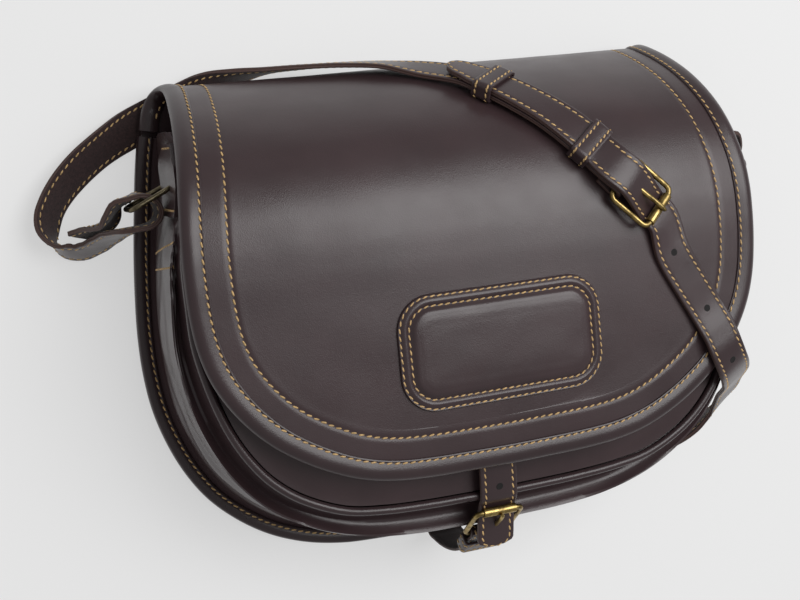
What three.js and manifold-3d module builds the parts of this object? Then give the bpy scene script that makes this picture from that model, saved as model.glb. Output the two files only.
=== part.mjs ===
// A leather hunting bag lying on its back, with its flap closed and its shoulder strap laid round it.
// Frame: millimetres, +X to the viewer's right, +Y towards the bag's top, +Z out of the front.
// The origin is the middle of the back panel's flat outer face.
import * as THREE from 'three';
import { mergeVertices } from 'three/addons/utils/BufferGeometryUtils.js';
import Module from 'manifold-3d';

const wasm = await Module();
wasm.setup();

// Driving sizes
const GAP = 0.3;              // clearance between neighbouring pieces
const FLAP_EDGE_GAP = 0.6;    // clearance inside the flap's edging, which bends round the fold
const FLAP_THICK = 2.5;       // flap leather
const PANEL_THICK = 2.0;      // back and front panels
const GUSSET_THICK = 1.6;     // side and bottom strip
const BINDING_THICK = 1.1;    // rolled edging
const BINDING_BAND = 7.8;     // how far the edging reaches in from the edge
const CROWN = 4.8;            // how far the flap's sides fall below its middle
const CROWN_HALF = 150;       // half width at which the crown is measured
const STRAP_WIDTH = 20;       // shoulder and closing straps
const STRAP_THICK = 2.6;      // two sewn layers
const WIRE = 1.4;             // radius of the brass rings' wire
const BAR = 1.3;              // radius of a buckle frame's bars
const ROLLER = 2.4;           // outer radius of a buckle's roller
const PRONG = 1.0;            // radius of a buckle's prong
const PIPING = 2.2;           // radius of the cord round the front panel
const BACK_TOP = 118;         // top edge of the back panel

// Flap from its lower edge, up the front, over the fold and down to the lap on the back.
// crown is the share of the flap's crown that the section keeps.
const FLAP = [
  { y: -72.0, z: 98.6, half: 44.0, crown: 1 },
  { y: -71.0, z: 98.7, half: 58.0, crown: 1 },
  { y: -69.0, z: 98.9, half: 70.0, crown: 1 },
  { y: -65.5, z: 99.1, half: 82.0, crown: 1 },
  { y: -60.5, z: 99.4, half: 93.5, crown: 1 },
  { y: -53.5, z: 99.6, half: 106.0, crown: 1 },
  { y: -44.5, z: 99.8, half: 118.5, crown: 1 },
  { y: -34.0, z: 99.9, half: 129.0, crown: 1 },
  { y: -22.0, z: 100.0, half: 137.8, crown: 1 },
  { y: -10.0, z: 100.0, half: 144.0, crown: 1 },
  { y: 4.0, z: 100.0, half: 148.2, crown: 1 },
  { y: 20.0, z: 100.0, half: 150.3, crown: 1 },
  { y: 36.0, z: 100.0, half: 150.8, crown: 1 },
  { y: 50.0, z: 99.4, half: 150.5, crown: 1 },
  { y: 62.0, z: 97.7, half: 149.6, crown: 1 },
  { y: 73.0, z: 94.4, half: 148.3, crown: 1 },
  { y: 83.0, z: 89.9, half: 146.8, crown: 0.98 },
  { y: 92.0, z: 84.1, half: 145.3, crown: 0.95 },
  { y: 100.0, z: 76.8, half: 143.9, crown: 0.92 },
  { y: 107.0, z: 68.7, half: 142.5, crown: 0.87 },
  { y: 113.0, z: 60.0, half: 141.2, crown: 0.8 },
  { y: 118.0, z: 50.8, half: 140.1, crown: 0.7 },
  { y: 122.3, z: 41.4, half: 139.0, crown: 0.55 },
  { y: 125.8, z: 32.0, half: 138.1, crown: 0.4 },
  { y: 128.3, z: 23.4, half: 137.8, crown: 0.2 },
  { y: 129.3, z: 16.4, half: 138.6, crown: 0 },
  { y: 128.5, z: 10.6, half: 141.0, crown: 0 },
  { y: 125.9, z: 7.4, half: 143.2, crown: 0 },
  { y: 121.8, z: 5.6, half: 145.4, crown: 0 },
  { y: 116.0, z: 5.3, half: 147.6, crown: 0 },
  { y: 109.0, z: 5.3, half: 149.2, crown: 0 }
];
const FLAP_COLUMNS = 10;

// Sections of the sides, from the upper end of the left side down to the middle of the bottom.
// back: outline of the back; ridge: the bellows' outer fold; front: seam with the front panel;
// frontZ: height of that seam; fold: how deep the bellows fold is; left and right: how far the
// lower wall bulges beyond the ridge on each half.
const SIDES = [
  { back: [151.3, 106.5], ridge: [144.3, 106.5], front: [143.0, 106.5], frontZ: 52, fold: 0, left: 0.2, right: 0.2 },
  { back: [153.0, 98.5], ridge: [142.6, 98.5], front: [141.6, 98.5], frontZ: 63, fold: 0, left: 0.3, right: 0.3 },
  { back: [154.8, 88.5], ridge: [141.6, 88.5], front: [140.8, 88.5], frontZ: 73, fold: 0, left: 0.4, right: 0.4 },
  { back: [156.6, 76.5], ridge: [142.4, 76.5], front: [141.8, 76.5], frontZ: 79, fold: 0.1, left: 0.5, right: 0.5 },
  { back: [158.6, 62.0], ridge: [148.4, 62.0], front: [146.4, 62.0], frontZ: 81, fold: 0.3, left: 0.6, right: 1 },
  { back: [160.6, 46.0], ridge: [152.4, 46.0], front: [148.8, 46.0], frontZ: 81, fold: 0.7, left: 0.8, right: 1.5 },
  { back: [162.6, 25.0], ridge: [154.4, 25.0], front: [149.2, 25.0], frontZ: 81, fold: 1, left: 1, right: 2 },
  { back: [163.8, 4.0], ridge: [155.4, 4.0], front: [148.6, 5.5], frontZ: 81, fold: 1, left: 1, right: 3 },
  { back: [163.4, -17.0], ridge: [153.6, -14.5], front: [145.8, -10.0], frontZ: 81, fold: 1, left: 1, right: 4 },
  { back: [161.0, -36.0], ridge: [150.0, -31.0], front: [141.8, -25.0], frontZ: 81, fold: 1, left: 1, right: 5 },
  { back: [156.0, -54.0], ridge: [144.2, -47.0], front: [136.6, -39.0], frontZ: 81, fold: 1, left: 1, right: 6 },
  { back: [148.0, -72.5], ridge: [136.2, -62.0], front: [129.6, -52.0], frontZ: 81, fold: 1, left: 1.2, right: 7 },
  { back: [138.0, -88.0], ridge: [126.4, -74.5], front: [121.0, -63.5], frontZ: 81, fold: 1, left: 1.5, right: 7.5 },
  { back: [124.0, -102.0], ridge: [113.6, -85.5], front: [110.4, -73.0], frontZ: 81, fold: 1, left: 2, right: 8 },
  { back: [107.0, -113.8], ridge: [98.4, -94.5], front: [97.8, -80.5], frontZ: 81, fold: 1, left: 2.5, right: 8 },
  { back: [88.0, -122.0], ridge: [82.0, -101.0], front: [83.6, -86.2], frontZ: 81, fold: 1, left: 3.2, right: 7.5 },
  { back: [66.0, -127.0], ridge: [63.0, -105.5], front: [64.2, -89.4], frontZ: 81, fold: 1, left: 4.5, right: 6.5 },
  { back: [44.0, -128.6], ridge: [42.0, -107.6], front: [43.0, -90.8], frontZ: 81, fold: 1, left: 5.5, right: 6 },
  { back: [22.0, -129.2], ridge: [21.0, -108.3], front: [21.5, -91.3], frontZ: 81, fold: 1, left: 5.6, right: 5.8 },
  { back: [0.0, -129.4], ridge: [0.0, -108.5], front: [0.0, -91.4], frontZ: 81, fold: 1, left: 5.6, right: 5.6 }
];
const SEAM_FROM = 4;          // first section that the front panel and its piping reach

// Small vector helpers
const vec = (x, y, z) => new THREE.Vector3(x, y, z);
const mix = (a, b, t) => a.clone().lerp(b, t);
const along = (p, d, s) => p.clone().addScaledVector(d, s);

// A BufferGeometry from points and triangle indices, turned so that its faces point out.
function body(points, triangles) {
  let volume = 0;
  for (let i = 0; i < triangles.length; i += 3) {
    const [a, b, c] = [points[triangles[i]], points[triangles[i + 1]], points[triangles[i + 2]]];
    volume += a.dot(b.clone().cross(c));
  }
  const index = volume < 0 ? triangles.slice().reverse() : triangles;
  const geometry = new THREE.BufferGeometry();
  geometry.setAttribute('position', new THREE.Float32BufferAttribute(points.flatMap((p) => [p.x, p.y, p.z]), 3));
  geometry.setIndex(index);
  return geometry;
}

// A closed wall between two equal grids of points, joined all round their edges.
function wall(outer, inner) {
  const rows = outer.length;
  const cols = outer[0].length;
  const points = [...outer.flat(), ...inner.flat()];
  const at = (side, i, j) => side * rows * cols + i * cols + j;
  const triangles = [];
  const quad = (a, b, c, d) => triangles.push(a, b, c, a, c, d);
  for (let i = 0; i < rows - 1; i++) {
    for (let j = 0; j < cols - 1; j++) {
      quad(at(0, i, j), at(0, i, j + 1), at(0, i + 1, j + 1), at(0, i + 1, j));
      quad(at(1, i, j), at(1, i + 1, j), at(1, i + 1, j + 1), at(1, i, j + 1));
    }
    quad(at(0, i, 0), at(0, i + 1, 0), at(1, i + 1, 0), at(1, i, 0));
    quad(at(0, i, cols - 1), at(1, i, cols - 1), at(1, i + 1, cols - 1), at(0, i + 1, cols - 1));
  }
  for (let j = 0; j < cols - 1; j++) {
    quad(at(0, 0, j), at(1, 0, j), at(1, 0, j + 1), at(0, 0, j + 1));
    quad(at(0, rows - 1, j), at(0, rows - 1, j + 1), at(1, rows - 1, j + 1), at(1, rows - 1, j));
  }
  return body(points, triangles);
}

// Unit normals of a grid, from the directions of its rows and columns.
function gridNormals(grid) {
  const rows = grid.length;
  const cols = grid[0].length;
  return grid.map((row, i) => row.map((p, j) => {
    const dj = row[Math.min(j + 1, cols - 1)].clone().sub(row[Math.max(j - 1, 0)]);
    const di = grid[Math.min(i + 1, rows - 1)][j].clone().sub(grid[Math.max(i - 1, 0)][j]);
    return dj.cross(di).normalize();
  }));
}

// One section carried along stations; every station gives its own ring of section points.
function swept(rings, closed) {
  const count = rings[0].length;
  const points = rings.flat();
  const triangles = [];
  const last = closed ? rings.length : rings.length - 1;
  for (let i = 0; i < last; i++) {
    const next = (i + 1) % rings.length;
    for (let k = 0; k < count; k++) {
      const [a, b] = [i * count + k, i * count + (k + 1) % count];
      const [c, d] = [next * count + (k + 1) % count, next * count + k];
      triangles.push(a, b, c, a, c, d);
    }
  }
  if (!closed) {
    const flat = THREE.ShapeUtils.triangulateShape(capOutline(rings[0]), []);
    const end = (rings.length - 1) * count;
    for (const [a, b, c] of flat) {
      triangles.push(a, c, b);
      triangles.push(end + a, end + b, end + c);
    }
  }
  return body(points, triangles);
}

// A ring of points drawn flat in its own plane, for closing an end.
function capOutline(ring) {
  const centre = ring.reduce((s, p) => s.add(p), vec(0, 0, 0)).divideScalar(ring.length);
  const normal = vec(0, 0, 0);
  ring.forEach((p, k) => {
    const q = ring[(k + 1) % ring.length];
    normal.add(p.clone().sub(centre).cross(q.clone().sub(centre)));
  });
  normal.normalize();
  const u = ring[0].clone().sub(centre).normalize();
  const v = normal.clone().cross(u);
  return ring.map((p) => new THREE.Vector2(p.clone().sub(centre).dot(u), p.clone().sub(centre).dot(v)));
}

// Direction of travel at each station.
function headings(points, closed) {
  const n = points.length;
  return points.map((p, i) => {
    const before = closed ? points[(i + n - 1) % n] : points[Math.max(i - 1, 0)];
    const after = closed ? points[(i + 1) % n] : points[Math.min(i + 1, n - 1)];
    return after.clone().sub(before).normalize();
  });
}

// A round bar along a path that lies in a plane with the given normal.
function bar(path, planeNormal, radius, sides, closed) {
  const travel = headings(path, closed);
  const rings = path.map((p, i) => {
    const side = travel[i].clone().cross(planeNormal).normalize();
    return Array.from({ length: sides }, (_, k) => {
      const a = ((k + 0.5) / sides) * Math.PI * 2;
      return along(along(p, side, radius * Math.cos(a)), planeNormal, radius * Math.sin(a));
    });
  });
  return swept(rings, closed);
}

// A flat strap along stations { p: centre, w: across direction, half: half width }.
function ribbon(stations, thick) {
  const travel = headings(stations.map((s) => s.p), false);
  const outer = [];
  const inner = [];
  stations.forEach((s, i) => {
    const across = s.w.clone().addScaledVector(travel[i], -s.w.dot(travel[i])).normalize();
    const normal = travel[i].clone().cross(across).normalize();
    const half = s.half ?? STRAP_WIDTH / 2;
    const edges = [-1, 1].map((k) => along(s.p, across, k * half));
    outer.push(edges.map((e) => along(e, normal, thick / 2)));
    inner.push(edges.map((e) => along(e, normal, -thick / 2)));
  });
  return wall(outer, inner);
}

// Joins and cuts
function solidOf(geometry) {
  const merged = mergeVertices(new THREE.BufferGeometry()
    .setAttribute('position', geometry.getAttribute('position'))
    .setIndex(geometry.index), 1e-5);
  return new wasm.Manifold(new wasm.Mesh({
    numProp: 3,
    vertProperties: Float32Array.from(merged.getAttribute('position').array),
    triVerts: Uint32Array.from(merged.index.array)
  }));
}
function cut(geometry, tools) {
  let solid = solidOf(geometry);
  for (const tool of tools) {
    solid = solid.subtract(solidOf(tool));
  }
  const mesh = solid.getMesh();
  const result = new THREE.BufferGeometry();
  result.setAttribute('position', new THREE.BufferAttribute(Float32Array.from(mesh.vertProperties), 3));
  result.setIndex(new THREE.BufferAttribute(Uint32Array.from(mesh.triVerts), 1));
  return result;
}
// A round cutter through a strap at a point, along the strap's normal.
function punch(p, normal, radius) {
  const side = Math.abs(normal.z) > 0.5 ? vec(1, 0, 0) : vec(0, 0, 1);
  const planeNormal = side.clone().cross(normal).normalize();
  return bar([along(p, normal, -6), along(p, normal, 6)], planeNormal, radius, 10, false);
}

// Materials
const leather = (colour, roughness) => new THREE.MeshStandardMaterial({ color: colour, roughness, metalness: 0 });
const brownLeather = () => leather(0x44363a, 0.42);
const edgeLeather = () => leather(0x382b2f, 0.5);
const brass = () => new THREE.MeshStandardMaterial({ color: 0xa8935c, roughness: 0.35, metalness: 1 });

const bag = new THREE.Group();
function add(name, geometry, material) {
  geometry.computeVertexNormals();
  const mesh = new THREE.Mesh(geometry, material);
  mesh.name = name;
  bag.add(mesh);
  return mesh;
}

// Flap surface: rows follow the section, columns run across.
const flapGrid = FLAP.map((row) => Array.from({ length: FLAP_COLUMNS + 1 }, (_, j) => {
  const x = row.half * (2 * j / FLAP_COLUMNS - 1);
  return vec(x, row.y, row.z - row.crown * CROWN * (x / CROWN_HALF) ** 2);
}));
const flapNormals = gridNormals(flapGrid);
const flapInner = flapGrid.map((row, i) => row.map((p, j) => along(p, flapNormals[i][j], -FLAP_THICK)));
add('flap', wall(flapGrid, flapInner), brownLeather());

// Height and normal of the flap's outer face at a point of its front.
function flapAt(x, y, lift) {
  let i = FLAP.findIndex((row, k) => k > 0 && row.y >= y);
  if (i < 1) i = FLAP.findIndex((row) => row.y > 129);
  const [a, b] = [FLAP[i - 1], FLAP[i]];
  const t = THREE.MathUtils.clamp((y - a.y) / (b.y - a.y), 0, 1);
  const fall = CROWN * THREE.MathUtils.lerp(a.crown, b.crown, t);
  const z = THREE.MathUtils.lerp(a.z, b.z, t) - fall * (x / CROWN_HALF) ** 2;
  const normal = vec(2 * fall * x / CROWN_HALF ** 2, (a.z - b.z) / (b.y - a.y), 1).normalize();
  return { p: along(vec(x, y, z), normal, lift), n: normal };
}

// Rolled edging along an edge: a channel that holds the edge of a leather between its two walls.
// edge: points on the outer face; normals: of that face; out: away from the leather.
function channel(edge, normals, out, depth, band, gap) {
  const t = BINDING_THICK;
  const [top, low] = [gap, -depth - gap];
  const section = [
    [-band, top], [-band + 0.8, top + t], [gap, top + t], [gap + t, (top + low) / 2],
    [gap, low - t], [-band + 0.8, low - t], [-band, low], [gap, low], [gap, top]
  ];
  return swept(edge.map((p, i) => section.map(([b, n]) => along(along(p, out[i], b), normals[i], n))), false);
}
// The flap's edge from the back of the left side, round the bottom, to the back of the right side.
const lastColumn = FLAP_COLUMNS;
const flapEdge = [
  ...FLAP.map((_, i) => [FLAP.length - 1 - i, 0]),
  ...Array.from({ length: lastColumn - 1 }, (_, j) => [0, j + 1]),
  ...FLAP.map((_, i) => [i, lastColumn])
];
const flapEdgePoints = flapEdge.map(([i, j]) => flapGrid[i][j]);
const flapEdgeNormals = flapEdge.map(([i, j]) => flapNormals[i][j]);
const flapEdgeTravel = headings(flapEdgePoints, false);
const flapEdgeOut = flapEdgePoints.map((p, i) => {
  const across = flapEdgeTravel[i].clone().cross(flapEdgeNormals[i]).normalize();
  const away = vec(p.x, Math.min(p.y - 40, 0), 0);
  if (across.dot(away) < 0) across.negate();
  // On the straight sides the edging lies along the flap's own rows.
  const [row, column] = flapEdge[i];
  const beside = flapGrid[row][column === 0 ? 1 : column - 1];
  const alongRow = p.clone().sub(beside).normalize();
  const share = column === 0 || column === lastColumn ? THREE.MathUtils.smoothstep(p.y, -22, 10) : 0;
  return across.lerp(alongRow, row >= 9 ? Math.max(share, row > 20 ? 1 : 0) : 0).normalize();
});
add('flap_binding', channel(flapEdgePoints, flapEdgeNormals, flapEdgeOut, FLAP_THICK, BINDING_BAND, FLAP_EDGE_GAP), edgeLeather());

// Padded cartouche on the flap: a raised ring, a sewn groove and a padded field.
const CARTOUCHE = { x: 0, y: -11.7, halfLength: 54.6, halfHeight: 29.0, corner: 18 };
// inset from the rim, height above the flap, for each ring of the relief
const CARTOUCHE_RELIEF = [
  { inset: 0, rise: 0.7 }, { inset: 1.4, rise: 1.0 }, { inset: 3.0, rise: 2.3 }, { inset: 4.8, rise: 1.3 },
  { inset: 7.2, rise: 2.2 }, { inset: 11, rise: 3.2 }, { inset: 18, rise: 3.6 }
];
function roundedOutline(halfLength, halfHeight, corner, perCorner) {
  const points = [];
  [[1, 1, 0], [-1, 1, 1], [-1, -1, 2], [1, -1, 3]].forEach(([sx, sy, quarter]) => {
    for (let k = 0; k <= perCorner; k++) {
      const a = (quarter + k / perCorner) * Math.PI / 2;
      points.push([sx * (halfLength - corner) + corner * Math.cos(a), sy * (halfHeight - corner) + corner * Math.sin(a)]);
    }
  });
  return points;
}
{
  const rings = CARTOUCHE_RELIEF.map(({ inset, rise }) => roundedOutline(
    CARTOUCHE.halfLength - inset, CARTOUCHE.halfHeight - inset, Math.max(CARTOUCHE.corner - inset, 4), 5
  ).map(([x, y]) => flapAt(CARTOUCHE.x + x, CARTOUCHE.y + y, rise).p));
  const base = roundedOutline(CARTOUCHE.halfLength, CARTOUCHE.halfHeight, CARTOUCHE.corner, 5)
    .map(([x, y]) => flapAt(CARTOUCHE.x + x, CARTOUCHE.y + y, GAP).p);
  const points = [...base, ...rings.flat()];
  const n = base.length;
  const triangles = [];
  for (let r = 0; r < rings.length; r++) {
    for (let k = 0; k < n; k++) {
      const [a, b] = [r * n + k, r * n + (k + 1) % n];
      triangles.push(a, b, b + n, a, b + n, a + n);
    }
  }
  const top = points.length;
  points.push(flapAt(CARTOUCHE.x, CARTOUCHE.y, 3.7).p, flapAt(CARTOUCHE.x, CARTOUCHE.y, GAP).p);
  for (let k = 0; k < n; k++) {
    triangles.push(rings.length * n + k, rings.length * n + (k + 1) % n, top);
    triangles.push((k + 1) % n, k, top + 1);
  }
  add('cartouche', body(points, triangles), brownLeather());
}

// Sides: every section on the left half, then mirrored to the right half.
const half = (sign) => SIDES.map((s) => ({
  back: vec(sign * s.back[0], s.back[1], 0),
  ridge: vec(sign * s.ridge[0], s.ridge[1], 0),
  front: vec(sign * s.front[0], s.front[1], 0),
  frontZ: s.frontZ,
  fold: s.fold,
  bulge: sign < 0 ? s.left : s.right
}));
const sections = [...half(-1), ...half(1).reverse().slice(1)];
const backOutline = sections.map((s) => s.back);
const backTravel = headings(backOutline, false);
const backOut = backTravel.map((t) => vec(t.y, -t.x, 0).normalize());
const FLANGE_Z = 3.7;          // underside of the flange that the back edging holds
const ROOT = 9.2;              // how far in from the outline the side wall rises
{
  const outer = sections.map((s, i) => {
    const out = backOut[i];
    const lay = (p, z) => vec(p.x, p.y, z);
    const root = along(s.back, out, -ROOT);
    const widest = along(s.ridge, out, s.bulge);
    const ridgeZ = s.frontZ - 9;
    return [
      lay(s.front, s.frontZ),
      lay(mix(s.front, s.ridge, 0.3), s.frontZ - 3 - 5 * s.fold),
      lay(mix(s.front, s.ridge, 0.62), s.frontZ - 6 - 7 * s.fold),
      lay(mix(s.front, s.ridge, 0.86), s.frontZ - 8 - 3 * s.fold),
      lay(s.ridge, ridgeZ),
      lay(mix(s.ridge, widest, 0.45), ridgeZ - 7),
      lay(widest, ridgeZ * 0.62),
      lay(mix(widest, root, 0.55), ridgeZ * 0.33),
      lay(root, FLANGE_Z + GUSSET_THICK + 2),
      lay(along(s.back, out, -ROOT + 1.4), FLANGE_Z + GUSSET_THICK),
      lay(along(s.back, out, -1.8), FLANGE_Z + GUSSET_THICK)
    ];
  });
  const normals = gridNormals(outer);
  const inner = outer.map((row, i) => row.map((p, j) => along(p, normals[i][j], GUSSET_THICK)));
  const test = inner[10][8].clone().sub(outer[10][8]).dot(backOut[10]);
  const turned = test < 0 ? inner : outer.map((row, i) => row.map((p, j) => along(p, normals[i][j], -GUSSET_THICK)));
  turned.forEach((row, i) => {
    row[10] = vec(outer[i][10].x, outer[i][10].y, FLANGE_Z);
  });
  add('gusset', wall(outer, turned), brownLeather());
}

// Back panel: flat in the middle, its rim lifted to lie inside the back edging.
const RIM_LIFT = 1.4;
{
  const rim = [
    ...backOutline.map((p, i) => ({ p: along(p, backOut[i], -1.8), lift: RIM_LIFT })),
    ...[0.94, 0.8, 0.4, 0, -0.4, -0.8, -0.94].map((k) => ({ p: vec(k * 150.4, BACK_TOP, 0), lift: 0 }))
  ];
  const rings = [0, 8.6, 15].map((inset, r) => rim.map(({ p, lift }) => {
    const q = mix(p, vec(0, 0, 0), inset / p.length());
    q.z = r < 2 ? lift : 0;
    return q;
  }));
  rings.push(rim.map(({ p }) => mix(p, vec(0, 0, 0), 0.45).setZ(0)));
  const n = rim.length;
  const lower = rings.flat();
  const upper = lower.map((p) => vec(p.x, p.y, p.z + PANEL_THICK));
  const points = [...lower, vec(0, 0, 0), ...upper, vec(0, 0, PANEL_THICK)];
  const half2 = lower.length + 1;
  const triangles = [];
  for (let k = 0; k < n; k++) {
    const m = (k + 1) % n;
    for (let r = 0; r < rings.length - 1; r++) {
      const [a, b, c, d] = [r * n + k, r * n + m, (r + 1) * n + m, (r + 1) * n + k];
      triangles.push(a, b, c, a, c, d);
      triangles.push(half2 + a, half2 + c, half2 + b, half2 + a, half2 + d, half2 + c);
    }
    const r = rings.length - 1;
    triangles.push(r * n + k, r * n + m, half2 - 1);
    triangles.push(half2 + r * n + k, half2 + half2 - 1, half2 + r * n + m);
    triangles.push(k, half2 + k, half2 + m, k, half2 + m, m);
  }
  add('back_panel', body(points, triangles), brownLeather());
}
// The back edging grips the panel's rim and the flange of the sides.
{
  const faceZ = FLANGE_Z + GUSSET_THICK;
  const edge = backOutline.map((p, i) => along(p, backOut[i], -GAP - BINDING_THICK).setZ(faceZ));
  const up = edge.map(() => vec(0, 0, 1));
  const grip = faceZ - RIM_LIFT;
  add('back_binding', channel(edge, up, backOut, grip, BINDING_BAND - 1.4, GAP), edgeLeather());
}

// Front panel under the flap, and the piping along its seam with the sides.
const seam = sections.slice(SEAM_FROM, sections.length - SEAM_FROM);
const seamPath = seam.map((s) => vec(s.front.x, s.front.y, s.frontZ + GAP + PIPING));
add('front_piping', (() => {
  const travel = headings(seamPath, false);
  const rings = seamPath.map((p, i) => {
    const side = vec(travel[i].y, -travel[i].x, 0).normalize();
    return Array.from({ length: 8 }, (_, k) => {
      const a = ((k + 0.5) / 8) * Math.PI * 2;
      return along(along(p, side, PIPING * Math.cos(a)), vec(0, 0, 1), PIPING * Math.sin(a));
    });
  });
  return swept(rings, false);
})(), edgeLeather());
{
  const rows = 9;
  const travel = headings(seamPath, false);
  const rim = seamPath.map((p, i) => along(p, vec(travel[i].y, -travel[i].x, 0).normalize(), -PIPING - 0.7));
  const count = rim.length;
  const across = Math.floor(count / 2);
  // Rows run from the left rim to the right rim, from the upper edge to the middle of the bottom.
  const outer = [];
  for (let i = 0; i < across; i++) {
    const [left, right] = [rim[i], rim[count - 1 - i]];
    outer.push(Array.from({ length: rows }, (_, j) => {
      const t = j / (rows - 1);
      const p = mix(left, right, t);
      const lowEdge = THREE.MathUtils.smoothstep(p.y, rim[across].y - 1, rim[across].y + 30);
      const fromSide = THREE.MathUtils.smoothstep(Math.min(t, 1 - t) * Math.abs(right.x - left.x), 0, 40);
      p.z = left.z - 0.4 + 6.6 * lowEdge * fromSide;
      return p;
    }));
  }
  const inner = outer.map((row) => row.map((p) => vec(p.x, p.y, p.z - PANEL_THICK)));
  add('front_panel', wall(outer, inner), brownLeather());
}

// Ring tabs: a leather bridge on each side, its upper and lower ends sewn to the wall, with a hole
// that the ring passes through.
const TAB = { thick: 1.8, low: 39, high: 74 };
// y along the tab, x of its outer face on the left side at its rear and front edges
const TAB_ROWS = [
  { y: 101.0, rear: -145.2, front: -145.0 }, { y: 97.5, rear: -146.4, front: -146.2 },
  { y: 93.0, rear: -148.0, front: -147.0 }, { y: 81.0, rear: -148.4, front: -147.4 },
  { y: 73.0, rear: -148.6, front: -148.4 }, { y: 69.5, rear: -149.2, front: -149.0 },
  { y: 66.5, rear: -150.0, front: -149.8 }
];
const RING = { inner: [-144.2, 81.6], outer: [-166.8, 71.4], low: 36.2, high: 60, corner: 5 };
function mirrored(point, sign) {
  return vec(sign < 0 ? point.x : -point.x, point.y, point.z);
}
for (const [side, sign] of [['left', -1], ['right', 1]]) {
  const rows = TAB_ROWS.map((row) => [0, 0.5, 1].map((t) => vec(
    THREE.MathUtils.lerp(row.rear, row.front, t), row.y,
    Math.min(THREE.MathUtils.lerp(TAB.low, TAB.high, t), TAB.high - (row.y > 90 ? (row.y - 90) * 1.25 : 0))
  )));
  const outer = rows.map((row) => row.map((p) => mirrored(p, sign)));
  const inner = rows.map((row) => row.map((p) => mirrored(vec(p.x + TAB.thick, p.y, p.z), sign)));
  const hole = punch(mirrored(vec(-147, 80.4, RING.high), sign), vec(1, 0, 0), 3.0);
  add(`ring_tab_${side}`, cut(wall(outer, inner), [hole]), brownLeather());

  // The ring is an oblong of round wire standing in a plane that holds the z axis.
  const a = vec(RING.inner[0], RING.inner[1], 0);
  const b = vec(RING.outer[0], RING.outer[1], 0);
  const reach = b.clone().sub(a);
  const length = reach.length();
  reach.normalize();
  const middle = (RING.low + RING.high) / 2;
  const outline = roundedOutline(length / 2, (RING.high - RING.low) / 2, RING.corner, 3);
  const path = outline.map(([u, v]) => mirrored(
    vec(a.x + reach.x * (u + length / 2), a.y + reach.y * (u + length / 2), middle + v), sign
  ));
  const planeNormal = mirrored(vec(-reach.y, reach.x, 0), sign).normalize();
  add(`ring_${side}`, bar(path, planeNormal, WIRE - 0.2, 6, true), brass());
}

// A curve through table points, sampled evenly, for the straps' routes.
function smoothStations(rows, step) {
  const centre = new THREE.CatmullRomCurve3(rows.map((r) => r.p), false, 'centripetal');
  const across = new THREE.CatmullRomCurve3(rows.map((r) => r.w), false, 'centripetal');
  // The two curves share the table's own parameter, so each station keeps its own width direction.
  const stations = [];
  for (let i = 0; i < rows.length - 1; i++) {
    const pieces = Math.max(1, Math.round(rows[i].p.distanceTo(rows[i + 1].p) / step));
    for (let k = 0; k < pieces; k++) {
      const t = (i + k / pieces) / (rows.length - 1);
      stations.push({ p: centre.getPoint(t), w: across.getPoint(t).normalize() });
    }
  }
  const last = rows[rows.length - 1];
  stations.push({ p: last.p.clone(), w: last.w.clone().normalize() });
  return stations;
}
// A row given by its place on the flap: the across direction follows the flap's face.
function onFlap(x, y, lift, heading) {
  const { p, n } = flapAt(x, y, lift);
  const along3 = heading.clone().addScaledVector(n, -heading.dot(n)).normalize();
  return { p, w: n.clone().cross(along3).normalize() };
}
const row = ([x, y, z, wx, wy, wz]) => ({ p: vec(x, y, z), w: vec(wx, wy, wz) });

// The shoulder buckle lies on the flap: hinge bar and roller bar, seen from above.
const HINGE = { x: 72.6, y: 61.0, lift: 4.7 };
const ROLLER_END = { x: 90.4, y: 43.4, lift: 4.7 };
const FRAME = { length: 25, halfWidth: 12.6, corner: 3.2, rollerRise: 1.5 };
function buckleAxes(origin, towards, up) {
  const d = towards.clone().sub(origin).normalize();
  const w = up.clone().cross(d).normalize();
  const n = d.clone().cross(w).normalize();
  return { origin, d, w, n, at: (s, across, h) => along(along(along(origin, d, s), w, across), n, h) };
}
const shoulder = (() => {
  const hinge = flapAt(HINGE.x, HINGE.y, HINGE.lift);
  const end = flapAt(ROLLER_END.x, ROLLER_END.y, ROLLER_END.lift);
  return buckleAxes(hinge.p, end.p, hinge.n);
})();
const CLOSING = { x: -4.1, hinge: [-115.2, 66.0], roller: [-100.2, 86.2] };
const closing = buckleAxes(
  vec(CLOSING.x, ...CLOSING.hinge), vec(CLOSING.x, ...CLOSING.roller), vec(0, -1, 1)
);

// Frame, roller and prong of a buckle. tipLift: height of the prong's tip over the frame's plane.
function buckle(name, axes, rollerRise, tipLift) {
  const { length, halfWidth, corner } = FRAME;
  const outline = roundedOutline(length / 2, halfWidth, corner, 3);
  const path = outline.map(([u, v]) => {
    const s = u + length / 2;
    return axes.at(s, v, rollerRise * s / length);
  });
  add(`${name}_frame`, bar(path, axes.n, BAR, 6, true), brass());

  const rings = Array.from({ length: 12 }, (_, k) => {
    const a = (k / 12) * Math.PI * 2;
    return [[-9, BAR + 0.35], [9, BAR + 0.35], [9, ROLLER], [-9, ROLLER]].map(([across, r]) => axes.at(
      length + r * Math.cos(a), across, rollerRise + r * Math.sin(a)
    ));
  });
  add(`${name}_roller`, swept(rings, true), brass());

  const eye = BAR + 0.4 + PRONG;
  const profile = [
    ...[-50, -90, -135, 180, 135, 95].map((deg) => {
      const a = THREE.MathUtils.degToRad(deg);
      return [eye * Math.cos(a), eye * Math.sin(a)];
    }),
    [length * 0.5, (eye + tipLift) / 2 - 0.1], [length - 1, tipLift], [length + 2.2, tipLift - 0.3]
  ];
  const prong = profile.map(([s, h]) => axes.at(s, 0, h));
  add(`${name}_prong`, bar(prong, axes.w, PRONG, 6, false), brass());
  return bar(prong, axes.w, PRONG + 0.45, 6, false);
}
const shoulderProngRoom = buckle('strap_buckle', shoulder, FRAME.rollerRise, 5.2);
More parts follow.
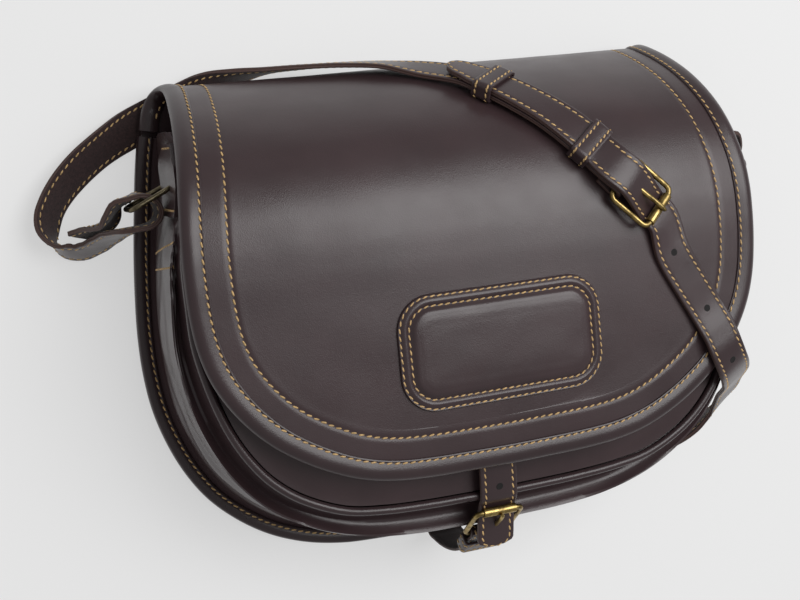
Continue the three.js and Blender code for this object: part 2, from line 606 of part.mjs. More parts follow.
const closingProngRoom = buckle('closing_buckle', closing, 0, 3.9);

// A strap's end folded round a buckle's hinge bar: stations from the inner end, round the bar.
function hingeFold(axes, thick, returnRows) {
  const r = 1.8 + thick / 2;
  const turn = [-90, -60, -30, 0, 30, 60, 90].map((deg) => {
    const a = THREE.MathUtils.degToRad(deg);
    return { p: axes.at(r * Math.cos(a), 0, r * Math.sin(a)), w: axes.w.clone() };
  });
  return [...returnRows.map(([s, h]) => ({ p: axes.at(s, 0, h), w: axes.w.clone() })), ...turn];
}
// A strap's end folded loosely round a ring's outer bar: the turn is flat in plan.
const RING_TURN = [
  [-162.8, 62, 47.2], [-157.6, 62.6, 48], [-153.4, 65.8, 48], [-152.4, 70.6, 48],
  [-154.8, 75.2, 48], [-159.6, 77.6, 47.8], [-164.8, 77.4, 47]
];
function ringTurn(sign) {
  return RING_TURN.map(([x, y, z]) => ({ p: mirrored(vec(x, y, z), sign), w: vec(0, 0, 1) }));
}

// Shoulder strap, short length: buckle end, over the fold of the flap, round the left and to the ring.
// Each row: centre x, y, z and the direction across the strap towards its upper edge.
const SHORT_FREE = [
  [-6, 126.8, 38.4, -0.45, -0.35, 0.82], [-22, 131, 28, -0.3, -0.16, 0.94],
  [-42, 133.2, 19.5, -0.2, -0.08, 0.97], [-62, 134, 14.2, -0.08, -0.04, 1],
  [-84, 133.6, 9.9, -0.02, 0.08, 0.99], [-99, 131.6, 6.2, -0.05, 0.4, 0.91],
  [-111, 128, 3.4, -0.12, 0.78, 0.6], [-122, 123.2, -1, -0.28, 0.94, 0.16],
  [-134, 118.6, -1.8, -0.37, 0.93, 0], [-145, 114.2, -1.9, -0.4, 0.915, 0],
  [-155.5, 109.7, -0.7, -0.42, 0.89, 0.18], [-163.5, 105.7, 1.5, -0.45, 0.8, 0.4],
  [-171.5, 101, 3, -0.46, 0.74, 0.5], [-179, 95.8, 3.2, -0.5, 0.69, 0.52],
  [-186, 90, 3.5, -0.57, 0.6, 0.56], [-192.4, 83.6, 4.1, -0.62, 0.48, 0.62],
  [-197.6, 76.8, 4.7, -0.67, 0.31, 0.67], [-201, 70, 5.1, -0.68, 0.18, 0.71],
  [-202, 63.8, 5.9, -0.58, 0.14, 0.8], [-200.4, 57.8, 7, -0.36, 0.22, 0.9],
  [-195.6, 53, 7.4, -0.15, 0.37, 0.92], [-188.8, 51.4, 9.4, -0.05, 0.4, 0.91],
  [-182.4, 53.2, 14.2, -0.03, 0.38, 0.92], [-176.8, 56.6, 22, -0.05, 0.32, 0.94],
  [-172.2, 59.6, 31, -0.05, 0.22, 0.97], [-168, 61.4, 41, 0, 0.08, 0.99]
];
// The turned-back end at a ring, from the turn to its cut end, on the left side.
const RING_RETURN = [
  [-169.2, 75.4, 45], [-173, 71.4, 41], [-175.6, 67, 35], [-178.8, 63.6, 28],
  [-183.2, 61.4, 22], [-187.8, 60, 18]
];
const LIFT_MAIN = 3.9;
const LIFT_TOP = 6.9;
const flapRoute = [[60.7, 75.5], [51.0, 86.0], [40.9, 95.3], [31.5, 103.0], [22.0, 110.2], [13.5, 116.4]];
const shortStations = (() => {
  const upLeft = vec(-0.7, 0.7, 0);
  const start = hingeFold(shoulder, STRAP_THICK, [[-9.5, -2.6], [-4, -3.0]]);
  const mainRows = [
    { p: shoulder.at(-5, 0, 2.4), w: shoulder.w.clone() },
    ...flapRoute.map(([x, y]) => onFlap(x, y, LIFT_MAIN, upLeft))
  ];
  // The across direction on the flap points to the lower left, as it does on the free length.
  const lowerLeft = vec(-1, -1, 0);
  const facing = (r) => (r.w.dot(lowerLeft) < 0 ? { p: r.p, w: r.w.negate() } : r);
  const rows = [
    ...start.map(facing), ...mainRows.map(facing), ...SHORT_FREE.map(row), ...ringTurn(-1),
    ...RING_RETURN.map(([x, y, z]) => ({ p: vec(x, y, z), w: vec(0, 0.3, 0.95) }))
  ];
  return smoothStations(rows, 9);
})();
add('strap_short', cut(ribbon(shortStations, STRAP_THICK), [shoulderProngRoom]), brownLeather());

// Shoulder strap, long length: pointed tip over the fold, through the buckle, over the flap's lower
// right edge, down to the ground, round beneath the bag and up to the right ring.
const LONG_FREE = [
  [131.8, -43.4, 97.8, 0.86, 0.5, -0.05], [141, -52.2, 85.4, 0.84, 0.53, -0.05],
  [150.6, -59.8, 67.4, 0.84, 0.53, 0], [158.2, -66.6, 51, 0.87, 0.48, -0.06],
  [162.2, -75, 38.6, 0.89, 0.41, -0.2], [162.3, -81.8, 30.2, 0.8, 0.27, -0.53],
  [158.4, -88.2, 24.9, 0.64, 0.14, -0.76], [153, -93.6, 20.4, 0.54, 0.24, -0.8],
  [147.6, -97.6, 15, 0.52, 0.42, -0.74], [142.4, -100, 9, 0.46, 0.66, -0.6],
  [137.6, -101.6, 2.6, 0.3, 0.9, -0.3], [131.2, -100.8, -1.5, 0.12, 0.98, -0.03],
  [123.4, -98, -1.75, 0.26, 0.96, 0], [114.6, -94, -1.75, 0.48, 0.87, 0],
  [107.4, -87.4, -1.75, 0.74, 0.67, 0], [103.6, -77.4, -1.75, 0.96, 0.27, 0],
  [103.9, -63, -1.75, 0.97, -0.24, 0], [110.6, -47, -1.75, 0.86, -0.5, 0],
  [123.2, -31, -1.75, 0.74, -0.67, 0], [140, -14.5, -1.75, 0.7, -0.71, 0],
  [157, 1, -1.75, 0.7, -0.71, 0], [168.2, 10.8, -1.95, 0.7, -0.71, 0],
  [177.6, 20.6, 0.2, 0.68, -0.66, -0.28], [183.6, 33, 6.6, 0.5, -0.3, -0.81],
  [185.6, 45, 16.6, 0.25, -0.04, -0.97], [182, 55.6, 29.6, 0.08, 0.06, -0.99],
  [173.4, 61.2, 41.6, 0, 0, -1]
];
const HOLE_RADIUS = 1.6;
const STRAP_HOLES = [[99.2, 20.2], [116.3, -10.4]];
const EDGE_HOLE = [128.4, -39.4, 98.0];
{
  const downRight = vec(0.45, -0.9, 0);
  const tip = [
    { x: 5.5, y: 120.4, lift: 7.9, half: 2.0 }, { x: 7.3, y: 119.5, lift: 7.7, half: 6.0 },
    { x: 9.9, y: 118.2, lift: 7.4, half: 8.8 }
  ];
  const upLeft = vec(0.7, -0.7, 0);
  const tipRows = tip.map(({ x, y, lift, half: h }) => ({ ...onFlap(x, y, lift, upLeft), half: h }));
  const overRows = flapRoute.slice().reverse().map(([x, y]) => onFlap(x, y, LIFT_TOP, upLeft));
  const buckleRows = [
    [-0.28, 5.0], [-0.08, 6.0], [0.1, 6.0], [0.26, 4.9], [0.44, 2.9], [0.62, 0.6], [0.8, -1.4], [1, -2.55], [1.16, -2.6]
  ].map(([share, h]) => ({ p: shoulder.at(share * FRAME.length, 0, h), w: shoulder.w.clone() }));
  const lowerRows = [[99.0, 20.6, 2.0], [108.4, 3.2, 2.0], [116.6, -11.2, 2.3], [122.6, -24.0, 4.2], [126.4, -34.5, 4.9]]
    .map(([x, y, lift]) => onFlap(x, y, lift, downRight));
  const right = vec(1, 0.4, 0);
  const facing = (r) => (r.w.dot(right) < 0 ? { ...r, w: r.w.clone().negate() } : r);
  const route = [
    ...overRows.map(facing), ...buckleRows.map(facing), ...lowerRows.map(facing), ...LONG_FREE.map(row),
    ...ringTurn(1).map((r) => ({ p: r.p, w: vec(0, 0, -1) })),
    ...RING_RETURN.map(([x, y, z]) => ({ p: vec(-x, y, z), w: vec(0, -0.3, -0.95) }))
  ];
  const stations = [...tipRows.map(facing), ...smoothStations(route, 9)];
  const strap = ribbon(stations, STRAP_THICK);
  const holes = STRAP_HOLES.map(([x, y]) => {
    const { p, n } = flapAt(x, y, 2);
    return punch(p, n, HOLE_RADIUS);
  });
  holes.push(punch(vec(...EDGE_HOLE), vec(0.45, -0.35, 0.82).normalize(), HOLE_RADIUS));
  add('strap_long', cut(strap, [shoulderProngRoom, ...holes]), brownLeather());
}

// Keepers: leather loops round the straps' layers.
function keeper(name, centre, across, up, low, high, halfWidth, length, thick) {
  const travel = across.clone().cross(up).normalize();
  const outline = roundedOutline(halfWidth, (high - low) / 2, 1.4, 2);
  const rings = outline.map(([u, v], k) => {
    const before = outline[(k + outline.length - 1) % outline.length];
    const after = outline[(k + 1) % outline.length];
    const [tx, ty] = [after[0] - before[0], after[1] - before[1]];
    const size = Math.hypot(tx, ty);
    const [ox, oy] = [ty / size, -tx / size];
    return [[-1, -1], [1, -1], [1, 1], [-1, 1]].map(([e, o]) => {
      const du = u + ox * o * thick / 2;
      const dv = v + oy * o * thick / 2 + (low + high) / 2;
      return along(along(along(centre, across, du), up, dv), travel, e * length / 2);
    });
  });
  add(name, swept(rings, true), edgeLeather());
}
const KEEPER = { low: -2.5, high: 5.8, half: 11.4, length: 6.5, thick: 1.4 };
for (const [name, x, y] of [['strap_keeper_lower', 62.4, 73.6], ['strap_keeper_upper', 21.4, 110.7]]) {
  const travel = headings(shortStations.map((s) => s.p), false);
  const far = (s) => Math.hypot(s.p.x - x, s.p.y - y - 2);
  const i = shortStations.reduce((best, s, k) => (s.p.z > 50 && far(s) < far(shortStations[best]) ? k : best), 14);
  const across = shortStations[i].w.clone().addScaledVector(travel[i], -shortStations[i].w.dot(travel[i])).normalize();
  const up = travel[i].clone().cross(across);
  if (up.z < 0) up.negate();
  keeper(name, shortStations[i].p, across, up, KEEPER.low, KEEPER.high, KEEPER.half, KEEPER.length, KEEPER.thick);
}

// Closing strap: sewn under the flap, out over the piping and under the buckle's roller.
// Rows through a buckle are shares of the frame's length and heights above its plane.
const CLOSING_ROUTE = [
  [-5.7, -46, 95.3], [-5.7, -58, 94.1], [-5.5, -70, 92.5], [-5.1, -80, 90.7], [-4.7, -88, 88.9], [-4.4, -93, 87.3]
];
{
  const rows = [
    ...CLOSING_ROUTE.map(([x, y, z]) => ({ p: vec(x, y, z), w: vec(1, 0, 0) })),
    ...[[1, -4.1], [0.82, -2.0], [0.64, 1.4], [0.48, 4.6], [0.344, 7.3]]
      .map(([share, h]) => ({ p: closing.at(share * FRAME.length, 0, h), w: vec(1, 0, 0) }))
  ];
  const stations = smoothStations(rows, 9);
  stations.push({ p: closing.at(0.248 * FRAME.length, 0, 9.2), w: vec(1, 0, 0), half: 9.4 });
  stations.push({ p: closing.at(0.208 * FRAME.length, 0, 10.0), w: vec(1, 0, 0), half: 7.6 });
  const hole = punch(vec(-4.6, -86.5, 89.3), vec(0, -0.2, 0.98).normalize(), HOLE_RADIUS);
  add('closing_strap', cut(ribbon(stations, STRAP_THICK), [closingProngRoom, hole]), brownLeather());
}
// Closing tab: holds the buckle, folded round its hinge bar, and runs down under the back's lower edge.
const CLOSING_TAB_THICK = 1.6;
const CLOSING_TAB = [
  [-120.5, 61.5], [-126.5, 53.5], [-131.0, 43.0], [-133.6, 31.0], [-134.4, 19.0], [-133.8, 9.5],
  [-132.8, 2.4], [-129.6, -1.25], [-122.0, -1.3], [-112.0, -1.3]
];
{
  const rows = [
    ...hingeFold(closing, CLOSING_TAB_THICK, [[-6.6, -1.5], [-3.4, -2.3]]),
    ...CLOSING_TAB.map(([y, z]) => ({ p: vec(CLOSING.x, y, z), w: closing.w.clone() }))
  ];
  const tab = ribbon(smoothStations(rows, 8), CLOSING_TAB_THICK);
  add('closing_tab', cut(tab, [closingProngRoom]), brownLeather());
}
keeper('closing_keeper', vec(CLOSING.x, -123.2, 57.2), closing.w, vec(0, -0.8, 0.6), -4.0, 3.2, 11.3, 7, 1.3);

export default bag;
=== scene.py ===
"""Leather hunting bag lying on its back, with its shoulder strap laid round it.

Every length in the tables is in millimetres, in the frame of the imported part: X to the right,
Y towards the fold at the bag's top, Z out of the flap. Each shape is a surface of two parameters.
"""

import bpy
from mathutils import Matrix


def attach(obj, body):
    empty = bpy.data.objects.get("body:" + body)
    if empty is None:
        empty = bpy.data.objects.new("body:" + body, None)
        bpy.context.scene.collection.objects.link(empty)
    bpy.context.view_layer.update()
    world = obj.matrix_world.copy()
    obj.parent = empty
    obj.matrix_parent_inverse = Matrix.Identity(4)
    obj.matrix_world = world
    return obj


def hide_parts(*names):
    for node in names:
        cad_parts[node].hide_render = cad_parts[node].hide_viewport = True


bl_info = {
    "name": "Leather Hunting Bag",
    "version": (1, 0, 0),
    "blender": (4, 5, 0),
    "location": "3D View > Sidebar > Hunting Bag",
    "description": "Leather hunting bag with a padded cartouche, buckles and a shoulder strap",
    "category": "Add Mesh",
}

import bmesh
import bpy
import numpy as np
from bpy.props import FloatProperty, FloatVectorProperty, PointerProperty
from bpy.types import Operator, Panel, PropertyGroup
from mathutils import Matrix

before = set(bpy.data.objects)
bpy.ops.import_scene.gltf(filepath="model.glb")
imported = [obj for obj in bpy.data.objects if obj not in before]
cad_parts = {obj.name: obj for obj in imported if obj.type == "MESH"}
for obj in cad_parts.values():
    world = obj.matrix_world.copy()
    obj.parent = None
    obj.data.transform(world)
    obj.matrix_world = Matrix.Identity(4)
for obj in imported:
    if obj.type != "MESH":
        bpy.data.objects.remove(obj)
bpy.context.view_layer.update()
MM = 0.001


def linear(code):
    """sRGB hex to linear: c / 12.92 below 0.04045, ((c + 0.055) / 1.055) to the power 2.4 above."""
    c = np.array([int(code[i:i + 2], 16) for i in (1, 3, 5)]) / 255
    return tuple(float(v) for v in np.where(c < 0.04045, c / 12.92, ((c + 0.055) / 1.055) ** 2.4))


# Tables of the bag's own shape

CROWN = 4.8
CROWN_HALF = 150.0
FLAP_THICK = 2.5
# y, z, half width, share of the crown: from the flap's lower edge over the fold to the lap
FLAP = np.array([
    (-72.0, 98.6, 44.0, 1), (-71.0, 98.7, 58.0, 1), (-69.0, 98.9, 70.0, 1), (-65.5, 99.1, 82.0, 1),
    (-60.5, 99.4, 93.5, 1), (-53.5, 99.6, 106.0, 1), (-44.5, 99.8, 118.5, 1), (-34.0, 99.9, 129.0, 1),
    (-22.0, 100.0, 137.8, 1), (-10.0, 100.0, 144.0, 1), (4.0, 100.0, 148.2, 1), (20.0, 100.0, 150.3, 1),
    (36.0, 100.0, 150.8, 1), (50.0, 99.4, 150.5, 1), (62.0, 97.7, 149.6, 1), (73.0, 94.4, 148.3, 1),
    (83.0, 89.9, 146.8, 0.98), (92.0, 84.1, 145.3, 0.95), (100.0, 76.8, 143.9, 0.92),
    (107.0, 68.7, 142.5, 0.87), (113.0, 60.0, 141.2, 0.8), (118.0, 50.8, 140.1, 0.7),
    (122.3, 41.4, 139.0, 0.55), (125.8, 32.0, 138.1, 0.4), (128.3, 23.4, 137.8, 0.2),
    (129.3, 16.4, 138.6, 0), (128.5, 10.6, 141.0, 0), (125.9, 7.4, 143.2, 0), (121.8, 5.6, 145.4, 0),
    (116.0, 5.3, 147.6, 0), (109.0, 5.3, 149.2, 0)])

# back x, y; ridge x, y; front x, y; height of the front seam; depth of the bellows fold;
# bulge on the left half and on the right half: from the side's upper end to the middle of the bottom
SIDES = np.array([
    (151.3, 106.5, 144.3, 106.5, 143.0, 106.5, 52, 0, 0.2, 0.2),
    (153.0, 98.5, 142.6, 98.5, 141.6, 98.5, 63, 0, 0.3, 0.3),
    (154.8, 88.5, 141.6, 88.5, 140.8, 88.5, 73, 0, 0.4, 0.4),
    (156.6, 76.5, 142.4, 76.5, 141.8, 76.5, 79, 0.1, 0.5, 0.5),
    (158.6, 62.0, 148.4, 62.0, 146.4, 62.0, 81, 0.3, 0.6, 1),
    (160.6, 46.0, 152.4, 46.0, 148.8, 46.0, 81, 0.7, 0.8, 1.5),
    (162.6, 25.0, 154.4, 25.0, 149.2, 25.0, 81, 1, 1, 2),
    (163.8, 4.0, 155.4, 4.0, 148.6, 5.5, 81, 1, 1, 3),
    (163.4, -17.0, 153.6, -14.5, 145.8, -10.0, 81, 1, 1, 4),
    (161.0, -36.0, 150.0, -31.0, 141.8, -25.0, 81, 1, 1, 5),
    (156.0, -54.0, 144.2, -47.0, 136.6, -39.0, 81, 1, 1, 6),
    (148.0, -72.5, 136.2, -62.0, 129.6, -52.0, 81, 1, 1.2, 7),
    (138.0, -88.0, 126.4, -74.5, 121.0, -63.5, 81, 1, 1.5, 7.5),
    (124.0, -102.0, 113.6, -85.5, 110.4, -73.0, 81, 1, 2, 8),
    (107.0, -113.8, 98.4, -94.5, 97.8, -80.5, 81, 1, 2.5, 8),
    (88.0, -122.0, 82.0, -101.0, 83.6, -86.2, 81, 1, 3.2, 7.5),
    (66.0, -127.0, 63.0, -105.5, 64.2, -89.4, 81, 1, 4.5, 6.5),
    (44.0, -128.6, 42.0, -107.6, 43.0, -90.8, 81, 1, 5.5, 6),
    (22.0, -129.2, 21.0, -108.3, 21.5, -91.3, 81, 1, 5.6, 5.8),
    (0.0, -129.4, 0.0, -108.5, 0.0, -91.4, 81, 1, 5.6, 5.6)])
BACK_TOP = 118.0
FLANGE_Z = 3.7
GUSSET_THICK = 1.6
PANEL_THICK = 2.0
ROOT = 9.2

CARTOUCHE = {"x": 0.0, "y": -11.7, "half_length": 54.6, "half_height": 29.0, "corner": 18.0}
# inset from the cartouche's rim, height above the flap
RELIEF = np.array([(0.0, 0.35), (0.25, 1.15), (1.2, 1.35), (2.6, 2.1), (3.9, 2.35), (5.0, 1.9),
                   (5.9, 1.35), (6.7, 1.75), (8.2, 2.75), (11.0, 3.35), (16.0, 3.65), (22.0, 3.75),
                   (28.9, 3.75)])
UP = np.array([0, 0, 1.0])

HINGE = (72.6, 61.0, 4.7)
ROLLER_END = (90.4, 43.4, 4.7)
HINGE_REACH = 1.8
BUCKLE = {"length": 25.0, "half_width": 12.6, "corner": 3.2, "bar": 1.42, "roller": 2.4, "bore": 1.6}
PRONG_EYE = 2.7
STRAP_HALF = 10.0
STRAP_THICK = 2.6
TAB_THICK = 1.6
CLOSING_X = -4.1
CLOSING_HINGE = (CLOSING_X, -115.2, 66.0)
CLOSING_ROLLER = (CLOSING_X, -100.2, 86.2)
# distance from the hinge bar and height over the buckle's plane
SHOULDER_PASS = [(-7, 5.0), (-2, 6.0), (2.5, 6.0), (6.5, 4.9), (11, 2.9), (15.5, 0.6), (20, -1.4),
                 (25, -2.55), (29, -2.6)]
CLOSING_PASS = [(25, -4.1), (20.5, -2.0), (16, 1.4), (12, 4.6), (8.6, 7.3), (6.2, 9.2), (5.2, 10.0),
                (4.6, 10.45)]
# x, y and lift of the strap below the shoulder buckle
FLAP_LOWER = np.array([(99.0, 20.6, 2.0), (108.4, 3.2, 2.0), (116.6, -11.2, 2.3), (122.6, -24.0, 4.2),
                       (126.4, -34.5, 4.9)])
# piece, node, x and y of the keepers on the flap; low and high are heights over the strap's middle
KEEPERS = (("keeper_lower_leather", "strap_keeper_lower", 62.4, 73.6),
           ("keeper_upper_leather", "strap_keeper_upper", 21.4, 110.7))
KEEPER_ROOM = {"low": -2.5, "high": 5.8, "half": 11.4}
CLOSING_KEEPER = (CLOSING_X, -123.2, 57.2)
CLOSING_KEEPER_ROOM = {"low": -4.0, "high": 3.2, "half": 11.3}

# centre x, y, z of the strap and the direction across it, towards its upper edge
SHORT_FREE = np.array([
    (-6, 126.8, 38.4, -0.45, -0.35, 0.82), (-22, 131, 28, -0.3, -0.16, 0.94),
    (-42, 133.2, 19.5, -0.2, -0.08, 0.97), (-62, 134, 14.2, -0.08, -0.04, 1),
    (-84, 133.6, 9.9, -0.02, 0.08, 0.99), (-99, 131.6, 6.2, -0.05, 0.4, 0.91),
    (-111, 128, 3.4, -0.12, 0.78, 0.6), (-122, 123.2, -1, -0.28, 0.94, 0.16),
    (-134, 118.6, -1.8, -0.37, 0.93, 0), (-145, 114.2, -1.9, -0.4, 0.915, 0),
    (-155.5, 109.7, -0.7, -0.42, 0.89, 0.18), (-163.5, 105.7, 1.5, -0.45, 0.8, 0.4),
    (-171.5, 101, 3, -0.46, 0.74, 0.5), (-179, 95.8, 3.2, -0.5, 0.69, 0.52),
    (-186, 90, 3.5, -0.57, 0.6, 0.56), (-192.4, 83.6, 4.1, -0.62, 0.48, 0.62),
    (-197.6, 76.8, 4.7, -0.67, 0.31, 0.67), (-201, 70, 5.1, -0.68, 0.18, 0.71),
    (-202, 63.8, 5.9, -0.58, 0.14, 0.8), (-200.4, 57.8, 7, -0.36, 0.22, 0.9),
    (-195.6, 53, 7.4, -0.15, 0.37, 0.92), (-188.8, 51.4, 9.4, -0.05, 0.4, 0.91),
    (-182.4, 53.2, 14.2, -0.03, 0.38, 0.92), (-176.8, 56.6, 22, -0.05, 0.32, 0.94),
    (-172.2, 59.6, 31, -0.05, 0.22, 0.97), (-168, 61.4, 41, 0, 0.08, 0.99)])
RING_TURN = np.array([
    (-162.8, 62, 47.2, 0, 0, 1), (-157.6, 62.6, 48, 0, 0, 1), (-153.4, 65.8, 48, 0, 0, 1),
    (-152.4, 70.6, 48, 0, 0, 1), (-154.8, 75.2, 48, 0, 0, 1), (-159.6, 77.6, 47.8, 0, 0, 1),
    (-164.8, 77.4, 47, 0, 0, 1),
    (-169.2, 75.4, 45, 0, 0.3, 0.95), (-173, 71.4, 41, 0, 0.3, 0.95), (-175.6, 67, 35, 0, 0.3, 0.95),
    (-178.8, 63.6, 28, 0, 0.3, 0.95), (-183.2, 61.4, 22, 0, 0.3, 0.95), (-187.8, 60, 18, 0, 0.3, 0.95)])
LONG_FREE = np.array([
    (131.8, -43.4, 97.8, 0.86, 0.5, -0.05), (141, -52.2, 85.4, 0.84, 0.53, -0.05),
    (150.6, -59.8, 67.4, 0.84, 0.53, 0), (158.2, -66.6, 51, 0.87, 0.48, -0.06),
    (162.2, -75, 38.6, 0.89, 0.41, -0.2), (162.3, -81.8, 30.2, 0.8, 0.27, -0.53),
    (158.4, -88.2, 24.9, 0.64, 0.14, -0.76), (153, -93.6, 20.4, 0.54, 0.24, -0.8),
    (147.6, -97.6, 15, 0.52, 0.42, -0.74), (142.4, -100, 9, 0.46, 0.66, -0.6),
    (137.6, -101.6, 2.6, 0.3, 0.9, -0.3), (131.2, -100.8, -1.5, 0.12, 0.98, -0.03),
    (123.4, -98, -1.75, 0.26, 0.96, 0), (114.6, -94, -1.75, 0.48, 0.87, 0),
    (107.4, -87.4, -1.75, 0.74, 0.67, 0), (103.6, -77.4, -1.75, 0.96, 0.27, 0),
    (103.9, -63, -1.75, 0.97, -0.24, 0), (110.6, -47, -1.75, 0.86, -0.5, 0),
    (123.2, -31, -1.75, 0.74, -0.67, 0), (140, -14.5, -1.75, 0.7, -0.71, 0),
    (157, 1, -1.75, 0.7, -0.71, 0), (168.2, 10.8, -1.95, 0.7, -0.71, 0),
    (177.6, 20.6, 0.2, 0.68, -0.66, -0.28), (183.6, 33, 6.6, 0.5, -0.3, -0.81),
    (185.6, 45, 16.6, 0.25, -0.04, -0.97), (182, 55.6, 29.6, 0.08, 0.06, -0.99),
    (173.4, 61.2, 41.6, 0, 0, -1)])
FLAP_ROUTE = [(60.7, 75.5), (51.0, 86.0), (40.9, 95.3), (31.5, 103.0), (22.0, 110.2), (13.5, 116.4)]
STRAP_HOLES = [(99.2, 20.2, 98.9), (116.3, -10.4, 98.6), (128.2, -39.4, 99.0)]
LIFT_MAIN = 3.9
LIFT_TOP = 6.9
# x, y, lift, half width of the pointed tip
TIP = [(5.5, 120.4, 7.9, 2.0), (6.1, 120.1, 7.85, 4.4), (7.4, 119.5, 7.7, 6.6), (9.9, 118.2, 7.4, 9.0)]
CLOSING_ROUTE = [(-5.7, -46, 95.3), (-5.7, -58, 94.1), (-5.5, -70, 92.5), (-5.1, -80, 90.7),
                 (-4.7, -88, 88.9), (-4.4, -93, 87.3)]
CLOSING_TAB = [(-120.5, 61.5), (-126.5, 53.5), (-131.0, 43.0), (-133.6, 31.0), (-134.4, 19.0),
               (-133.8, 9.5), (-132.8, 2.4), (-129.6, -1.25), (-122.0, -1.3), (-112.0, -1.3)]
RING = {"inner": (-144.2, 81.6), "outer": (-166.8, 71.4), "low": 36.2, "high": 60.0, "corner": 5.0}
# y along the ring tab, x of its outer face on the left at the rear and the front edge
TAB_ROWS = np.array([(101.0, -145.2, -145.0), (97.5, -146.4, -146.2), (93.0, -148.0, -147.0),
                     (81.0, -148.4, -147.4), (73.0, -148.6, -148.4), (69.5, -149.2, -149.0),
                     (66.5, -150.0, -149.8)])
INNER_ROW = 20.0
OUTER_ROW = 7.9
BAND = 9.4
PIPING = 2.2
# y of each sewn line of the sides, near the back and at the front seam
SIDE_LINES = ((46, 55), (38, 43.5))


# Arithmetic on arrays of points

def unit(a):
    """Each vector divided by its length."""
    return a / np.maximum(np.linalg.norm(a, axis=-1, keepdims=True), 1e-9)


def hermite(knots, rows, t):
    """Cubic through the rows at the knots; a row's slope is the mean of its two sides' slopes,
    weighted by the other side's length."""
    rows = np.asarray(rows, float)
    h = np.diff(knots)
    slope = np.diff(rows, axis=0) / h[:, None]
    inner = (slope[1:] * h[:-1, None] + slope[:-1] * h[1:, None]) / (h[1:] + h[:-1])[:, None]
    m = np.vstack([slope[:1], inner, slope[-1:]])
    i = np.clip(np.searchsorted(knots, t, side="right") - 1, 0, len(h) - 1)
    u = ((t - knots[i]) / h[i])[:, None]
    s = h[i][:, None]
    return ((2 * u**3 - 3 * u**2 + 1) * rows[i] + (u**3 - 2 * u**2 + u) * s * m[i]
            + (3 * u**2 - 2 * u**3) * rows[i + 1] + (u**3 - u**2) * s * m[i + 1])


def distance(points):
    """Running length along a row of points."""
    return np.concatenate([[0.0], np.cumsum(np.linalg.norm(np.diff(points, axis=0), axis=1))])


def smooth(rows, count=None, spacing=2.0, span=3):
    """Hermite curve through the rows, sampled evenly along the length of its first span columns."""
    rows = np.asarray(rows, float)
    knots = distance(rows[:, :span])
    fine = hermite(knots, rows, np.linspace(0, knots[-1], 30 * len(rows)))
    length = distance(fine[:, :span])
    count = count or max(int(length[-1] / spacing), 3)
    even = np.linspace(0, length[-1], count)
    return np.stack([np.interp(even, length, fine[:, k]) for k in range(rows.shape[1])], axis=1)


def evenly(path, pitch, phase=0.5):
    """Points of a path, with whatever goes with them, every pitch along its first three columns."""
    length = distance(path[:, :3])
    at = np.arange(phase * pitch, length[-1], pitch)
    return np.stack([np.interp(at, length, path[:, k]) for k in range(path.shape[1])], axis=1)


def travel_of(path, closed=False):
    """Unit direction of travel at each point of a path."""
    if closed:
        return unit(np.roll(path, -1, axis=0) - np.roll(path, 1, axis=0))
    return unit(np.gradient(path, axis=0))


def waves(points, length, seed, count=7):
    """Gentle unevenness between -1 and 1: the mean of sines running in seeded directions, with
    wavelengths about the given length."""
    rng = np.random.default_rng(seed)
    total = np.zeros(points.shape[:-1])
    for _ in range(count):
        k = unit(rng.normal(size=points.shape[-1])) * 2 * np.pi / (length * rng.uniform(0.7, 1.5))
        total = total + np.sin(points @ k + rng.uniform(0, 6.28))
    return total / count


def bump(x, centre, width):
    """Bell of height 1: e to the minus ((x - centre) / width) squared."""
    return np.exp(-((x - centre) / width) ** 2)


def rounded(half_length, half_height, corner, per_corner):
    """Rounded rectangle: quarter circles of the corner's radius joined by straight sides."""
    a = np.linspace(0, np.pi / 2, per_corner + 1)
    out = []
    for quarter, (sx, sy) in enumerate([(1, 1), (-1, 1), (-1, -1), (1, -1)]):
        b = a + quarter * np.pi / 2
        out.append(np.stack([sx * (half_length - corner) + corner * np.cos(b),
                             sy * (half_height - corner) + corner * np.sin(b)], axis=1))
    return np.vstack(out)


def even_loop(points, count):
    """A closed loop of points sampled evenly along its length."""
    ring = np.vstack([points, points[:1]])
    length = distance(ring)
    at = np.linspace(0, length[-1], count, endpoint=False)
    return np.stack([np.interp(at, length, ring[:, k]) for k in range(ring.shape[1])], axis=1)


# Faces of grids

def grid_faces(rows, cols, around_rows=False, around_cols=False):
    """Quads of a grid of rows by cols points, joined across its first and last rows or columns."""
    i = np.arange(rows if around_rows else rows - 1)[:, None]
    j = np.arange(cols if around_cols else cols - 1)[None, :]
    a = i * cols + j
    b = i * cols + (j + 1) % cols
    c = ((i + 1) % rows) * cols + (j + 1) % cols
    d = ((i + 1) % rows) * cols + j
    return np.stack([a, b, c, d], axis=-1).reshape(-1, 4)


def tube(points, closed=False):
    """Sections (n, m, 3) joined to a tube; an open one gets a fan of triangles at each end."""
    n, m, _ = points.shape
    faces = grid_faces(n, m, closed, True).tolist()
    verts = points.reshape(-1, 3)
    if not closed:
        ends = np.stack([points[0].mean(axis=0), points[-1].mean(axis=0)])
        first, last = len(verts), len(verts) + 1
        verts = np.vstack([verts, ends])
        k = np.arange(m)
        nxt = (k + 1) % m
        faces += np.stack([nxt, k, np.full(m, first)], axis=1).tolist()
        faces += np.stack([(n - 1) * m + k, (n - 1) * m + nxt, np.full(m, last)], axis=1).tolist()
    return verts, faces


